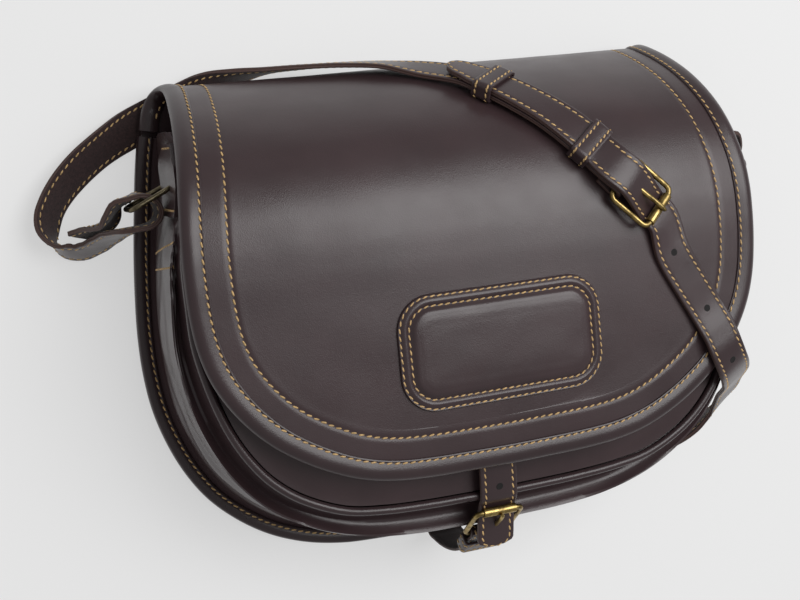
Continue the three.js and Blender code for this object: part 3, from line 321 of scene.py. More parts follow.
def slab(top, bottom, folded=False):
    """A closed sheet between two equal grids of points; a folded one has no wall on its first row,
    whose two halves meet."""
    n, m, _ = top.shape
    size = n * m
    up = grid_faces(n, m)
    down = up[:, ::-1] + size
    rim = np.concatenate([np.arange(m), np.arange(1, n) * m + m - 1,
                          (n - 1) * m + np.arange(m - 2, -1, -1), np.arange(n - 2, 0, -1) * m])
    nxt = np.roll(rim, -1)
    side = np.stack([nxt, rim, rim + size, nxt + size], axis=1)[m - 1 if folded else 0:]
    return np.vstack([top.reshape(-1, 3), bottom.reshape(-1, 3)]), np.vstack([up, down, side]).tolist()


def round_bar(path, plane_normal, radius, sides=16, closed=True, flat=1.0):
    """Round bar round a path in a plane: side = travel x normal, section (cos, flat * sin) * radius.
    radius may be one number or one for each point."""
    travel = travel_of(path, closed)
    side = unit(np.cross(travel, plane_normal))
    a = np.linspace(0, 2 * np.pi, sides, endpoint=False)
    r = np.broadcast_to(np.asarray(radius, float), (len(path),))[:, None, None]
    return tube(path[:, None] + r * (np.cos(a)[None, :, None] * side[:, None]
                                     + flat * np.sin(a)[None, :, None] * np.asarray(plane_normal)), closed)


def join(parts):
    """Several (points, faces) as one."""
    verts, faces, start = [], [], 0
    for v, f in parts:
        verts.append(v)
        faces += [[k + start for k in face] for face in f]
        start += len(v)
    return np.vstack(verts), faces


# The flap's own surface

REACH_ROWS = distance(FLAP[:, :2])
REACH = REACH_ROWS[-1]
FRONT_ROWS = 26


def flap_point(x, v, lift=0.0):
    """Point and normal of the flap's outer face: x across, v along its section from the lower edge.
    The height falls by crown * (x / 150) squared, and the point stands lift along the normal."""
    x, v, lift = np.broadcast_arrays(np.asarray(x, float), np.asarray(v, float), np.asarray(lift, float))
    shape = x.shape
    flat_v = np.clip(v.ravel(), 0, REACH)
    row = hermite(REACH_ROWS, FLAP, flat_v)
    ahead = hermite(REACH_ROWS, FLAP, np.minimum(flat_v + 0.5, REACH))
    back = hermite(REACH_ROWS, FLAP, np.maximum(flat_v - 0.5, 0))
    slope = (ahead - back) / (np.minimum(flat_v + 0.5, REACH) - np.maximum(flat_v - 0.5, 0))[:, None]
    over = v.ravel() - flat_v
    fx = x.ravel()
    share = (fx / CROWN_HALF) ** 2
    point = np.stack([fx, row[:, 0] + over * slope[:, 0],
                      row[:, 1] + over * slope[:, 1] - CROWN * row[:, 3] * share], axis=1)
    none = np.zeros_like(fx)
    along_x = np.stack([np.ones_like(fx), none, -2 * CROWN * row[:, 3] * fx / CROWN_HALF**2], axis=1)
    along_v = np.stack([none, slope[:, 0], slope[:, 1] - CROWN * slope[:, 3] * share], axis=1)
    normal = unit(np.cross(along_x, along_v))
    return (point + normal * lift.ravel()[:, None]).reshape(shape + (3,)), normal.reshape(shape + (3,))


def on_flap(x, y, lift=0.0):
    """Point and normal of the flap's front at x, y."""
    v = np.interp(y, FLAP[:FRONT_ROWS, 0], REACH_ROWS[:FRONT_ROWS])
    for _ in range(3):
        v = v - (hermite(REACH_ROWS, FLAP, np.atleast_1d(v))[:, 0].reshape(np.shape(y)) - y)
    return flap_point(x, v, lift)


def flap_edge(count=641):
    """The flap's edge laid flat as (x, v): from the lap's left end, round the bottom, to its right
    end, with the unit direction inwards."""
    left = np.stack([-FLAP[::-1, 2], REACH_ROWS[::-1]], axis=1)
    right = np.stack([FLAP[:, 2], REACH_ROWS], axis=1)
    edge = smooth(np.vstack([left, [(-22, -0.5), (0, -0.7), (22, -0.5)], right]), count, span=2)
    edge[count // 2, 0] = 0
    t = travel_of(edge)
    return edge, np.stack([-t[:, 1], t[:, 0]], axis=1)


# Blender objects

def make_piece(name, verts, faces, materials, nodes=(), merge=False, material_index=None, sharp=35.0):
    """A mesh object from points in millimetres; it rides on the bag and stands for the named nodes."""
    mesh = bpy.data.meshes.new(name)
    mesh.from_pydata((np.asarray(verts) * MM).tolist(), [], faces)
    for material in materials:
        mesh.materials.append(material)
    if material_index is not None:
        mesh.polygons.foreach_set("material_index", np.asarray(material_index, np.int32))
    mesh.validate(clean_customdata=False)
    work = bmesh.new()
    work.from_mesh(mesh)
    if merge:
        bmesh.ops.remove_doubles(work, verts=work.verts, dist=1e-6)
    bmesh.ops.recalc_face_normals(work, faces=work.faces)
    work.to_mesh(mesh)
    work.free()
    mesh.shade_smooth()
    mesh.set_sharp_from_angle(angle=np.radians(sharp))
    piece = bpy.data.objects.new(name, mesh)
    bpy.context.scene.collection.objects.link(piece)
    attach(piece, "root")
    if nodes:
        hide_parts(*nodes)
    return piece


def stitch_grains(rows, pitch, length=3.0, width=0.5, height=0.36, slant=14.0):
    """Stitches along rows of (point, normal): each is an ellipsoid, cos * length along the row turned
    by the slant, sin * width across and sin * height out, sunk by half its height."""
    half = np.array([(0.0, 1.0), (0.22, 0.95), (0.42, 0.62), (0.5, 0.0)])
    rings = np.vstack([half[:0:-1] * (-1, 1), half])
    a = np.linspace(0, 2 * np.pi, 6, endpoint=False)
    local = np.stack([np.repeat(rings[:, 0] * length, 6),
                      (rings[:, 1:] * np.cos(a)).ravel() * width,
                      (rings[:, 1:] * np.sin(a)).ravel() * height], axis=1)
    shape = grid_faces(len(rings), 6, False, True)
    verts, faces, start = [], [], 0
    for row in rows:
        spots = evenly(row, pitch)
        if len(spots) < 3:
            continue
        p, n = spots[:, :3], unit(spots[:, 3:6])
        t = travel_of(p)
        t = unit(t - (t * n).sum(axis=1, keepdims=True) * n)
        s = np.cross(n, t)
        c, q = np.cos(np.radians(slant)), np.sin(np.radians(slant))
        along, across = c * t + q * s, c * s - q * t
        v = (p[:, None] + local[None, :, :1] * along[:, None] + local[None, :, 1:2] * across[:, None]
             + local[None, :, 2:] * n[:, None])
        verts.append(v.reshape(-1, 3))
        offsets = start + np.arange(len(p))[:, None, None] * len(local)
        faces.append((shape[None] + offsets).reshape(-1, 4))
        start += len(p) * len(local)
    return np.vstack(verts), np.vstack(faces).tolist()


def sewn(name, rows, pitch=None, **sizes):
    """A piece that holds the stitches of some rows."""
    pitch = pitch or bpy.context.scene.bag_sizes.stitch_pitch / MM
    verts, faces = stitch_grains(rows, pitch, **sizes)
    return make_piece(name, verts, faces, [thread()], merge=True, sharp=80)


# Materials

def add_node(tree, kind, inputs=None, shades=(), **settings):
    """Adds a node, sets its settings and links or sets its inputs; shades are a colour ramp's
    positions, each with a linear colour."""
    node = tree.nodes.new(kind)
    for key, value in settings.items():
        setattr(node, key, value)
    for key, value in (inputs or {}).items():
        if isinstance(value, bpy.types.NodeSocket):
            tree.links.new(value, node.inputs[key])
        else:
            node.inputs[key].default_value = value
    for k, (position, colour) in enumerate(shades):
        node.color_ramp.elements[k].position = position
        node.color_ramp.elements[k].color = (*map(float, colour), 1)
    return node


def material_of(name, finish, **values):
    """The material of that name. When it is first asked for, values go into its shader's sockets and
    finish(tree, place) returns the sockets that are linked to others."""
    found = bpy.data.materials.get(name)
    if found:
        return found
    material = bpy.data.materials.new(name)
    material.use_nodes = True
    tree = material.node_tree
    shader = tree.nodes["Principled BSDF"]
    for key, value in values.items():
        shader.inputs[key.replace("_", " ")].default_value = value
    if finish:
        place = add_node(tree, "ShaderNodeTexCoord").outputs["Object"]
        for key, socket in finish(tree, place).items():
            tree.links.new(socket, shader.inputs[key])
    return material


def bridle_leather(name, colour, rough):
    """Smooth pigmented cowhide, rolled and polished: IOR 1.5, soft gloss, hair pores about 0.5 mm
    apart, faint creases 3 mm long and slow unevenness of the dye over some 40 mm."""
    def finish(tree, place):
        dye = add_node(tree, "ShaderNodeTexNoise", {
            "Vector": place, "Scale": 24.0, "Detail": 3.0, "Roughness": 0.55})
        tone = add_node(tree, "ShaderNodeValToRGB", {"Fac": dye.outputs["Fac"]},
                        shades=((0.3, 0.85 * np.array(colour)), (0.72, 1.15 * np.array(colour))))
        haze = add_node(tree, "ShaderNodeTexNoise", {"Vector": place, "Scale": 55.0, "Detail": 4.0})
        gloss = add_node(tree, "ShaderNodeMapRange", {
            "Value": haze.outputs["Fac"], "From Min": 0.3, "From Max": 0.7,
            "To Min": rough - 0.03, "To Max": rough + 0.04})
        pores = add_node(tree, "ShaderNodeTexVoronoi", {"Vector": place, "Scale": 1900.0})
        crease = add_node(tree, "ShaderNodeTexNoise", {
            "Vector": place, "Scale": 330.0, "Detail": 3.0, "Distortion": 0.4})
        height = add_node(tree, "ShaderNodeMath", {0: pores.outputs["Distance"], 1: crease.outputs["Fac"]},
                          operation="ADD")
        bumps = add_node(tree, "ShaderNodeBump", {
            "Height": height.outputs["Value"], "Strength": 0.16, "Distance": 0.00022})
        return {"Base Color": tone.outputs["Color"], "Roughness": gloss.outputs["Result"],
                "Normal": bumps.outputs["Normal"]}
    return material_of(name, finish, IOR=1.5)


def brown_leather():
    """The flap, panels and straps: espresso brown with a little aubergine."""
    return bridle_leather("bridle_leather_brown", bpy.context.scene.bag_colours.leather, 0.31)


def edge_leather():
    """The rolled edging, in its own dye, a little darker than the panels."""
    return bridle_leather("bridle_leather_edging", bpy.context.scene.bag_colours.edging, 0.3)


def suede():
    """Flesh side of the straps: sheared fibres, no gloss, reddish and mottled over 2 mm."""
    base = np.array(bpy.context.scene.bag_colours.flesh_side)

    def finish(tree, place):
        nap = add_node(tree, "ShaderNodeTexNoise", {
            "Vector": place, "Scale": 620.0, "Detail": 5.0, "Roughness": 0.7})
        tone = add_node(tree, "ShaderNodeValToRGB", {"Fac": nap.outputs["Fac"]},
                        shades=((0.35, base * 0.65), (0.7, base * 1.5)))
        bumps = add_node(tree, "ShaderNodeBump", {
            "Height": nap.outputs["Fac"], "Strength": 0.6, "Distance": 0.0004})
        return {"Base Color": tone.outputs["Color"], "Normal": bumps.outputs["Normal"]}
    return material_of("leather_flesh_side", finish, Roughness=0.88, Sheen_Weight=0.15, Sheen_Roughness=0.5)


def raw_edge():
    """Cut edge of the straps, burnished: a little redder and lighter than the dyed face."""
    base = np.array(bpy.context.scene.bag_colours.cut_edge)

    def finish(tree, place):
        fibres = add_node(tree, "ShaderNodeTexNoise", {"Vector": place, "Scale": 700.0, "Detail": 3.0})
        tone = add_node(tree, "ShaderNodeValToRGB", {"Fac": fibres.outputs["Fac"]},
                        shades=((0, base * 0.7), (1, base * 1.3)))
        return {"Base Color": tone.outputs["Color"]}
    return material_of("burnished_leather_edge", finish, Roughness=0.55)


def thread():
    """Waxed linen thread, two plies with a twist of about 1 mm."""
    base = np.array(bpy.context.scene.bag_colours.thread)

    def finish(tree, place):
        twist = add_node(tree, "ShaderNodeTexNoise", {"Vector": place, "Scale": 900.0, "Detail": 2.0})
        tone = add_node(tree, "ShaderNodeValToRGB", {"Fac": twist.outputs["Fac"]},
                        shades=((0.35, base * 0.72), (0.65, np.minimum(base * 1.2, 1))))
        return {"Base Color": tone.outputs["Color"]}
    return material_of("waxed_linen_thread", finish, Roughness=0.62)


def antique_brass(name="antique_brass", rubbed=None, dark="#6a5a38"):
    """Cast brass, tumbled and darkened: bright where it is rubbed, brown in a 4 mm mottling."""
    rubbed = rubbed or bpy.context.scene.bag_colours.brass

    def finish(tree, place):
        patina = add_node(tree, "ShaderNodeTexNoise", {
            "Vector": place, "Scale": 240.0, "Detail": 4.0, "Roughness": 0.6})
        tone = add_node(tree, "ShaderNodeValToRGB", {"Fac": patina.outputs["Fac"]},
                        shades=((0.34, linear(dark)), (0.62, rubbed)))
        gloss = add_node(tree, "ShaderNodeMapRange", {
            "Value": patina.outputs["Fac"], "From Min": 0.3, "From Max": 0.7, "To Min": 0.42, "To Max": 0.24})
        bumps = add_node(tree, "ShaderNodeBump", {
            "Height": patina.outputs["Fac"], "Strength": 0.15, "Distance": 0.0003})
        return {"Base Color": tone.outputs["Color"], "Roughness": gloss.outputs["Result"],
                "Normal": bumps.outputs["Normal"]}
    return material_of(name, finish, Metallic=1.0)


def ring_brass():
    """Drawn brass wire, darkened to olive brown by the same bath and hardly rubbed."""
    return antique_brass("darkened_brass_wire", linear("#7b725c"), "#463f31")


def hole_painted_shade():
    """Painted shade: a near-black colour that stands in for the shadow inside a punched hole."""
    # Painted shade for the inside of a hole, not a colour of the leather.
    return material_of("punched_hole_painted_shade", None, Base_Color=(0.004, 0.003, 0.003, 1), Roughness=0.8)


def light_table():
    """Opal acrylic top of a light table, lit from below so that shadows on it stay faint."""
    return material_of("opal_light_table", None, Base_Color=(*bpy.context.scene.bag_colours.floor, 1),
                       Emission_Color=(1, 1, 1, 1), Emission_Strength=0.52, Roughness=0.9,
                       Specular_IOR_Level=0.2)


# Body of the bag

def flap_relief(x, v, inset):
    """Height of the flap's face over its smooth shape: a sewn groove under the inner row, a slight
    swell between the rows, and slow unevenness of a millimetre."""
    flat = np.stack([x, v], axis=-1)
    rise = -0.3 * bump(inset, INNER_ROW, 1.1) + 0.06 * bump(inset, INNER_ROW + 2.6, 1.8)
    rise = rise + 0.06 * bump(inset, INNER_ROW - 2.6, 1.8) + 0.06 * bump(inset, 14, 4)
    calm = np.clip((inset - 22) / 30, 0, 1)
    return rise + 0.42 * calm * waves(flat, 95, 3) + 0.1 * np.clip(inset / 12, 0, 1) * waves(flat, 30, 5)


def build_flap():
    """The flap: rows follow the edge from the lap to the middle of the bottom, columns run in from
    the left edge, across and out to the right edge."""
    edge, inward = flap_edge()
    half = len(edge) // 2
    insets = np.concatenate([[0.0], np.arange(1.0, 17, 1.6), np.arange(17.0, 24.1, 0.5)])
    left = edge[:half + 1, None] + inward[:half + 1, None] * insets[None, :, None]
    right = edge[::-1][:half + 1, None] + inward[::-1][:half + 1, None] * insets[None, :, None]
    left[-1, :, 0] = 0
    right[-1, :, 0] = 0
    inner_count = 90
    t = np.linspace(0, 1, inner_count + 2)[1:-1]
    middle = left[:, -1:] * (1 - t)[None, :, None] + right[:, -1:] * t[None, :, None]
    sheet = np.concatenate([left, middle, right[:, ::-1]], axis=1)
    across = np.minimum(np.linalg.norm(middle - left[:, -1:], axis=-1),
                        np.linalg.norm(middle - right[:, -1:], axis=-1))
    depth = insets[-1] + np.minimum(across, middle[..., 1])
    inset = np.concatenate([np.broadcast_to(insets, (half + 1, len(insets))), depth,
                            np.broadcast_to(insets[::-1], (half + 1, len(insets)))], axis=1)
    x, v = sheet[..., 0], sheet[..., 1]
    top, normal = flap_point(x, v)
    top = top + normal * flap_relief(x, v, inset)[..., None]
    bottom = flap_point(x, v, -FLAP_THICK)[0]
    verts, faces = slab(top[::-1], bottom[::-1], folded=True)
    make_piece("flap_leather", verts, faces, [brown_leather()], ["flap"], merge=True)


def band_section():
    """Section of the rolled edging as (distance in from the flap's edge, height over its face):
    flat where it is sewn, a full bullnose round the edge, and the same again beneath."""
    top = [(-BAND, 0.12), (-BAND + 0.15, 0.72), (-BAND + 0.7, 0.98), (-OUTER_ROW - 0.5, 0.86),
           (-OUTER_ROW, 0.66), (-OUTER_ROW + 0.8, 0.95), (-5.4, 1.5), (-4.0, 1.72), (-2.4, 1.72), (-1.0, 1.4),
           (0.3, 0.7), (1.2, -0.25)]
    under = [(1.55, -1.25), (1.2, -2.3), (0.3, -3.2), (-1.4, -3.9), (-4.0, -4.15), (-7.0, -4.1),
             (-BAND + 1.4, -3.7), (-BAND + 1.2, -2.7)]
    inner = [(-4.0, -2.62), (0.2, -2.62), (0.2, 0.06), (-4.0, 0.08)]
    return np.array(top + under + inner)


def band_frames():
    """Edge points, outward directions and normals of the flap's edge in space."""
    edge, inward = flap_edge(701)
    p, n = flap_point(edge[:, 0], edge[:, 1])
    q, _ = flap_point(edge[:, 0] + inward[:, 0], edge[:, 1] + inward[:, 1])
    out = unit(p - q)
    return p, out, n


def build_flap_edging():
    """Rolled edging: its section is carried round the flap's edge."""
    p, out, n = band_frames()
    section = band_section()
    rings = p[:, None] + section[None, :, :1] * out[:, None] + section[None, :, 1:] * n[:, None]
    verts, faces = tube(rings)
    make_piece("flap_edging", verts, faces, [edge_leather()], ["flap_binding"])


def flap_rows():
    """The rows of stitches along the flap's edge, as (point, normal): two on its face, and the
    outer one again where it comes out under the edging beside the fold."""
    p, out, n = band_frames()
    outer = np.hstack([p - out * OUTER_ROW + n * 0.86, n])
    edge, inward = flap_edge()
    q, m = flap_point(edge[:, 0] + inward[:, 0] * INNER_ROW, edge[:, 1] + inward[:, 1] * INNER_ROW)
    inner = np.hstack([q - m * 0.16, m])
    under = np.hstack([p - out * 6.2 - n * 4.14, -n])
    return [outer[6:-6], inner[6:-6], under[6:150], under[-150:-6]]


def build_cartouche():
    """Padded cartouche: rings of a rounded rectangle step inwards over the relief's heights."""
    c = CARTOUCHE
    insets = np.concatenate([np.linspace(0, 9, 37), np.linspace(9.6, 20, 20)])
    heights = hermite(RELIEF[:, 0], RELIEF[:, 1:], insets)[:, 0]
    shares = [1.0] * len(insets) + [0.86, 0.7, 0.54, 0.38, 0.22, 0.08]
    insets = np.append(insets, [insets[-1]] * 6)
    heights = np.append(heights, [3.74] * 6)
    rings = []
    for inset, height, share in zip(insets, heights, shares):
        corner = max(c["corner"] - inset, min(3.0, c["half_height"] - inset))
        loop = rounded(c["half_length"] - inset, c["half_height"] - inset, corner, 14)
        loop = even_loop(loop, 240) * share
        x, y = c["x"] + loop[:, 0], c["y"] + loop[:, 1]
        swell = 0.12 * waves(np.stack([x, y], axis=-1), 18, 9) * np.clip((inset - 7) / 6, 0, 1)
        rings.append(on_flap(x, y, height + swell)[0])
    low = even_loop(rounded(c["half_length"], c["half_height"], c["corner"], 14), 240)
    base = on_flap(c["x"] + low[:, 0], c["y"] + low[:, 1], 0.12)[0]
    verts, faces = tube(np.stack([base] + rings))
    pad = make_piece("cartouche_pad", verts, faces, [brown_leather()], ["cartouche"])
    rows = []
    for inset, height in ((1.25, 1.36), (5.95, 1.4)):
        outline = rounded(c["half_length"] - inset, c["half_height"] - inset, c["corner"] - inset, 14)
        loop = even_loop(outline, 500)
        loop = np.vstack([loop, loop[:1]])
        p, n = on_flap(c["x"] + loop[:, 0], c["y"] + loop[:, 1], height)
        rows.append(np.hstack([p, n]))
    sewn("cartouche_stitches", rows, pitch=3.7, length=2.9)


def side_stations(count=420):
    """The sides' table on both halves, smoothed evenly along the back's outline."""
    left = SIDES.copy()
    left[:, [0, 2, 4]] *= -1
    right = SIDES[::-1][1:].copy()
    left, right = np.delete(left, 9, axis=1), np.delete(right, 8, axis=1)
    return smooth(np.vstack([left, right]), count, span=2)


def side_out(stations):
    """Unit direction away from the bag, level, along the back's outline."""
    t = travel_of(stations[:, :2])
    return np.stack([t[:, 1], -t[:, 0], np.zeros(len(t))], axis=1)


def side_controls(stations):
    """Points across the side wall at every station: from the front seam over the inward fold to the
    ridge, down the bulged lower wall and out along the flange. Shape (stations, points, 3)."""
    s = stations
    out = side_out(s)

    def lay(xy, z):
        return np.concatenate([xy[:, :2], np.broadcast_to(np.asarray(z, float), (len(xy),))[:, None]], axis=1)

    def blend(a, b, t):
        return a * (1 - t) + b * t

    back = lay(s[:, 0:2], 0)
    ridge = lay(s[:, 2:4], 0)
    front = lay(s[:, 4:6], 0)
    top, fold, bulge = s[:, 6], s[:, 7], s[:, 8]
    root = back - out * ROOT
    widest = ridge + out * bulge[:, None]
    ridge_z = top - 9
    rows = [lay(front, top), lay(blend(front, ridge, 0.3), top - 3 - 5 * fold),
            lay(blend(front, ridge, 0.62), top - 6 - 7 * fold),
            lay(blend(front, ridge, 0.86), top - 8 - 3 * fold),
            lay(ridge, ridge_z), lay(blend(ridge, widest, 0.45), ridge_z - 7), lay(widest, ridge_z * 0.62),
            lay(blend(widest, root, 0.55), ridge_z * 0.33), lay(root, FLANGE_Z + GUSSET_THICK + 2),
            lay(back - out * (ROOT - 1.4), FLANGE_Z + GUSSET_THICK),
            lay(back - out * 1.8, FLANGE_Z + GUSSET_THICK)]
    return np.stack(rows, axis=1)


def build_gusset():
    """Side and bottom strip with its bellows fold; soft creases run along it where it bends."""
    stations = side_stations()
    controls = side_controls(stations)
    count = 64
    outer = np.stack([smooth(c, count) for c in controls])
    du = np.gradient(outer, axis=0)
    dv = np.gradient(outer, axis=1)
    normal = unit(np.cross(du, dv))
    away = side_out(stations)[:, None] + np.array([0, 0, 0.3])
    if ((normal * away).sum(axis=-1)).mean() < 0:
        normal = -normal
    share = np.linspace(0, 1, count)[None, :]
    wall_share = bump(share, 0.62, 0.2)
    crease = waves(outer * np.array([1, 1, 2.4]), 46, 21) * 1.5 * wall_share
    crease = crease + 0.5 * waves(outer, 19, 23) * bump(share, 0.5, 0.18)
    outer = outer + normal * crease[..., None]
    inner = outer - normal * GUSSET_THICK
    verts, faces = slab(outer, inner)
    make_piece("gusset_leather", verts, faces, [brown_leather()], ["gusset"])
    return [wall_row(outer, normal, side, low, high) for side in (-1, 1) for low, high in SIDE_LINES]


def wall_row(outer, normal, side, low, high):
    """A sewn line across a side wall, from y = high at the front seam to y = low near the back."""
    half = len(outer) // 2
    grid = np.concatenate([outer, normal], axis=-1)
    grid = grid[:half][::-1] if side < 0 else grid[half:]
    return np.array([[np.interp(y, grid[:, j, 1], grid[:, j, k]) for k in range(6)]
                     for j, y in zip(range(8, 52), np.linspace(high, low, 44))])


def build_back():
    """Back panel: rings step in from the outline to the middle. The rim rises into its edging."""
    stations = side_stations(260)
    out = side_out(stations)
    rim = np.concatenate([stations[:, :2], np.zeros((len(stations), 1))], axis=1) - out * 1.8
    share = np.linspace(0.97, -0.97, 60)
    top = np.stack([share * 150.4, np.full(60, BACK_TOP), np.zeros(60)], axis=1)
    loop = np.vstack([rim, top])
    lift = np.concatenate([np.full(len(rim), 1.4), np.zeros(60)])
    insets = np.array([0, 4.0, 8.6, 11, 13, 15, 19])
    length = np.linalg.norm(loop, axis=1, keepdims=True)
    rise = 1 - np.clip((insets - 8.6) / 6.4, 0, 1) ** 0.8
    rings = [loop * (1 - inset / length) + UP * (lift * r)[:, None] for inset, r in zip(insets, rise)]
    for share_in in (0.75, 0.5, 0.25, 0.03):
        rings.append(loop * share_in)
    lower = np.stack(rings)
    lower[-4:, :, 2] = 0
    upper = lower[::-1] + UP * PANEL_THICK
    verts, faces = tube(np.concatenate([lower[::-1], upper[::-1]]))
    make_piece("back_leather", verts, faces, [brown_leather()], ["back_panel"])


def build_back_edging():
    """Rolled edging of the back: a rounded channel over the panel's rim and the sides' flange."""
    stations = side_stations(520)
    out = side_out(stations)
    face = FLANGE_Z + GUSSET_THICK
    edge = np.concatenate([stations[:, :2], np.full((len(stations), 1), face)], axis=1) - out * 1.4
    section = np.array([
        (-6.3, 0.12), (-6.1, 0.85), (-5.2, 1.25), (-4.4, 1.0), (-3.6, 1.3), (-2.4, 1.42), (-1.0, 1.38),
        (0.2, 1.05), (1.0, 0.3), (1.4, -0.9), (1.45, -2.4), (1.2, -3.8), (0.5, -4.8), (-0.8, -5.2),
        (-3.6, -5.25), (-6.0, -5.1), (-6.3, -4.3), (-2.0, -4.05), (0.1, -4.0), (0.1, 0.08), (-2.0, 0.08)])
    rings = edge[:, None] + section[None, :, :1] * out[:, None] + section[None, :, 1:] * UP
    verts, faces = tube(rings)
    make_piece("back_edging", verts, faces, [edge_leather()], ["back_binding"])
    return [np.hstack([edge - out * 4.5 + UP * 1.12, np.broadcast_to(UP, edge.shape)])]


def seam_path(count=460):
    """The line of the piping: the front seam of the sides, raised by the cord's radius."""
    left = SIDES[4:].copy()
    left[:, 4] *= -1
    right = SIDES[4:][::-1][1:]
    rows = np.vstack([left, right])[:, [4, 5, 6]]
    path = smooth(rows, count, span=2)
    path[:, 2] += 0.3 + PIPING
    t = travel_of(path[:, :2])
    return path, np.stack([t[:, 1], -t[:, 0], np.zeros(len(t))], axis=1)


def build_front():
    """Front panel under the flap, with the piping along its seam."""
    path, out = seam_path()
    a = np.linspace(0, 2 * np.pi, 14, endpoint=False)
    lip = PIPING * (np.cos(a)[None, :, None] * out[:, None] + np.sin(a)[None, :, None] * UP)
    verts, faces = tube(path[:, None] + lip)
    make_piece("front_piping_cord", verts, faces, [edge_leather()], ["front_piping"])
    rim = path - out * 2.75
    half = len(rim) // 2
    left, right = rim[:half], rim[::-1][:half]
    t = np.linspace(0, 1, 90)
    sheet = left[:, None] * (1 - t)[None, :, None] + right[:, None] * t[None, :, None]
    width = np.abs(right[:, :1] - left[:, :1])
    step = np.clip((sheet[..., 1] - rim[half, 1] + 1) / 31, 0, 1)
    side = np.clip(np.minimum(t, 1 - t)[None] * width / 40, 0, 1)
    ease = (step**2 * (3 - 2 * step)) * (side**2 * (3 - 2 * side))
    sheet[..., 2] += -0.4 + 6.6 * ease
    sheet[..., 2] += ease * 0.5 * waves(sheet[..., :2] * np.array([2.2, 0.7]), 60, 31)
    verts, faces = slab(sheet[::-1], (sheet - UP * PANEL_THICK)[::-1])
    make_piece("front_leather", verts, faces, [brown_leather()], ["front_panel"],
               merge=True)


# Straps

def strap_section(thick):
    """Section of a strap of half width 10: rounded edges, a sewn groove 2.5 mm in from each edge on
    both faces, and the line between its two layers at mid-thickness."""
    x = np.array([10.0, 9.85, 9.5, 9.0, 8.3, 7.8, 7.5, 7.2, 6.7, 5.6, 3.0])
    z = np.array([0.45, 0.78, 0.95, 1.0, 0.97, 0.86, 0.8, 0.86, 0.97, 1.02, 1.04]) * thick / 2
    top = np.stack([np.concatenate([x, [0], -x[::-1]]),
                    np.concatenate([z, [1.05 * thick / 2], z[::-1]])], axis=1)
    low = top[::-1] * np.array([1, -1])
    return np.vstack([top, [(-9.8, 0.0)], low, [(9.8, 0.0)]])


def strap_frames(rows, spacing=2.0):
    """Even stations of a strap's route with unit travel, across and normal directions; rows hold the
    centre, the across direction and optionally the half width."""
    s = smooth(rows, spacing=spacing)
    p = s[:, :3]
    travel = travel_of(p)
    across = unit(s[:, 3:6] - (s[:, 3:6] * travel).sum(axis=1, keepdims=True) * travel)
    return s, travel, across, np.cross(travel, across)


def half_widths(s):
    """Half width at each station: the seventh column where there is one."""
    return s[:, 6] if s.shape[1] > 6 else np.full(len(s), STRAP_HALF)


def strap_mesh(s, across, normal, thick):
    """Sweeps the strap's section along its stations; material 1 is the flesh side and 2 the cut edge."""
    section = strap_section(thick)
    half = half_widths(s) / STRAP_HALF
    rings = (s[:, None, :3] + section[None, :, :1] * half[:, None, None] * across[:, None]
             + section[None, :, 1:] * normal[:, None])
    verts, faces = tube(rings)
    m = len(section)
    k = np.arange(m)
    kind = np.where((k > 24) & (k < 45), 1, np.where((k < 1) | ((k > 20) & (k < 25)) | (k > 44), 2, 0))
    index = np.concatenate([np.tile(kind, len(s) - 1), np.full(2 * m, 2)])
    return verts, faces, index


def strap_rows(s, across, normal, thick, inset=2.5, both=True):
    """Rows of stitches along a strap, on its outer face and on its flesh side."""
    half = half_widths(s)
    rows = []
    for side in (-1, 1):
        edge = s[:, :3] + across * (side * np.maximum(half - inset, 0.4))[:, None]
        for face in ((1, -1) if both else (1,)):
            rows.append(np.hstack([edge + normal * face * 0.86 * thick / 2, normal * face]))
    return rows


def axes_of(origin, towards, up):
    """A buckle's axes: d from the hinge bar to the roller, w along the bars, n out of its plane."""
    origin = np.asarray(origin, float)
    d = unit(np.asarray(towards, float) - origin)
    w = unit(np.cross(up, d))
    n = unit(np.cross(d, w))
    return {"o": origin, "d": d, "w": w, "n": n}


def at(axes, s, across, h):
    """Point at s along d, across along w and h along n."""
    s, across, h = (v[..., None] for v in np.broadcast_arrays(np.asarray(s, float), across, h))
    return axes["o"] + s * axes["d"] + across * axes["w"] + h * axes["n"]


def shoulder_axes():
    """Axes of the shoulder buckle, lying on the flap."""
    hinge, n = on_flap(np.array(HINGE[0]), np.array(HINGE[1]), HINGE[2])
    end, _ = on_flap(np.array(ROLLER_END[0]), np.array(ROLLER_END[1]), ROLLER_END[2])
    return axes_of(hinge, end, n)


def closing_axes():
    """Axes of the closing buckle, standing in front of the bottom."""
    return axes_of(CLOSING_HINGE, CLOSING_ROLLER, np.array([0, -1.0, 1.0]))


def facing(rows, reference):
    """Rows with their across direction turned to agree with a reference direction."""
    rows = np.atleast_2d(rows).copy()
    sign = np.where((rows[:, 3:6] * reference).sum(axis=1) < 0, -1.0, 1.0)
    rows[:, 3:6] *= sign[:, None]
    return rows


def route_on_flap(points, lifts, heading):
    """Rows of centre and across direction for a strap that lies on the flap."""
    points = np.asarray(points, float)
    p, n = on_flap(points[:, 0], points[:, 1], lifts)
    along = unit(heading - (heading * n).sum(axis=1, keepdims=True) * n)
    return np.hstack([p, unit(np.cross(n, along))])


def hinge_fold(axes, thick, returns):
    """Rows of a strap's end folded round a hinge bar: its inner end, then a half circle."""
    r = HINGE_REACH + thick / 2
    a = np.radians(np.arange(-90, 91, 22.5))
    turn = at(axes, r * np.cos(a), 0, r * np.sin(a))
    inner = at(axes, np.array(returns)[:, 0], 0, np.array(returns)[:, 1])
    points = np.vstack([inner, turn])
    return np.hstack([points, np.broadcast_to(axes["w"], points.shape)])


def mirror(rows):
    """Rows on the other side of the bag, polished side out."""
    return rows * np.array([-1, 1, 1, 1, -1, -1])


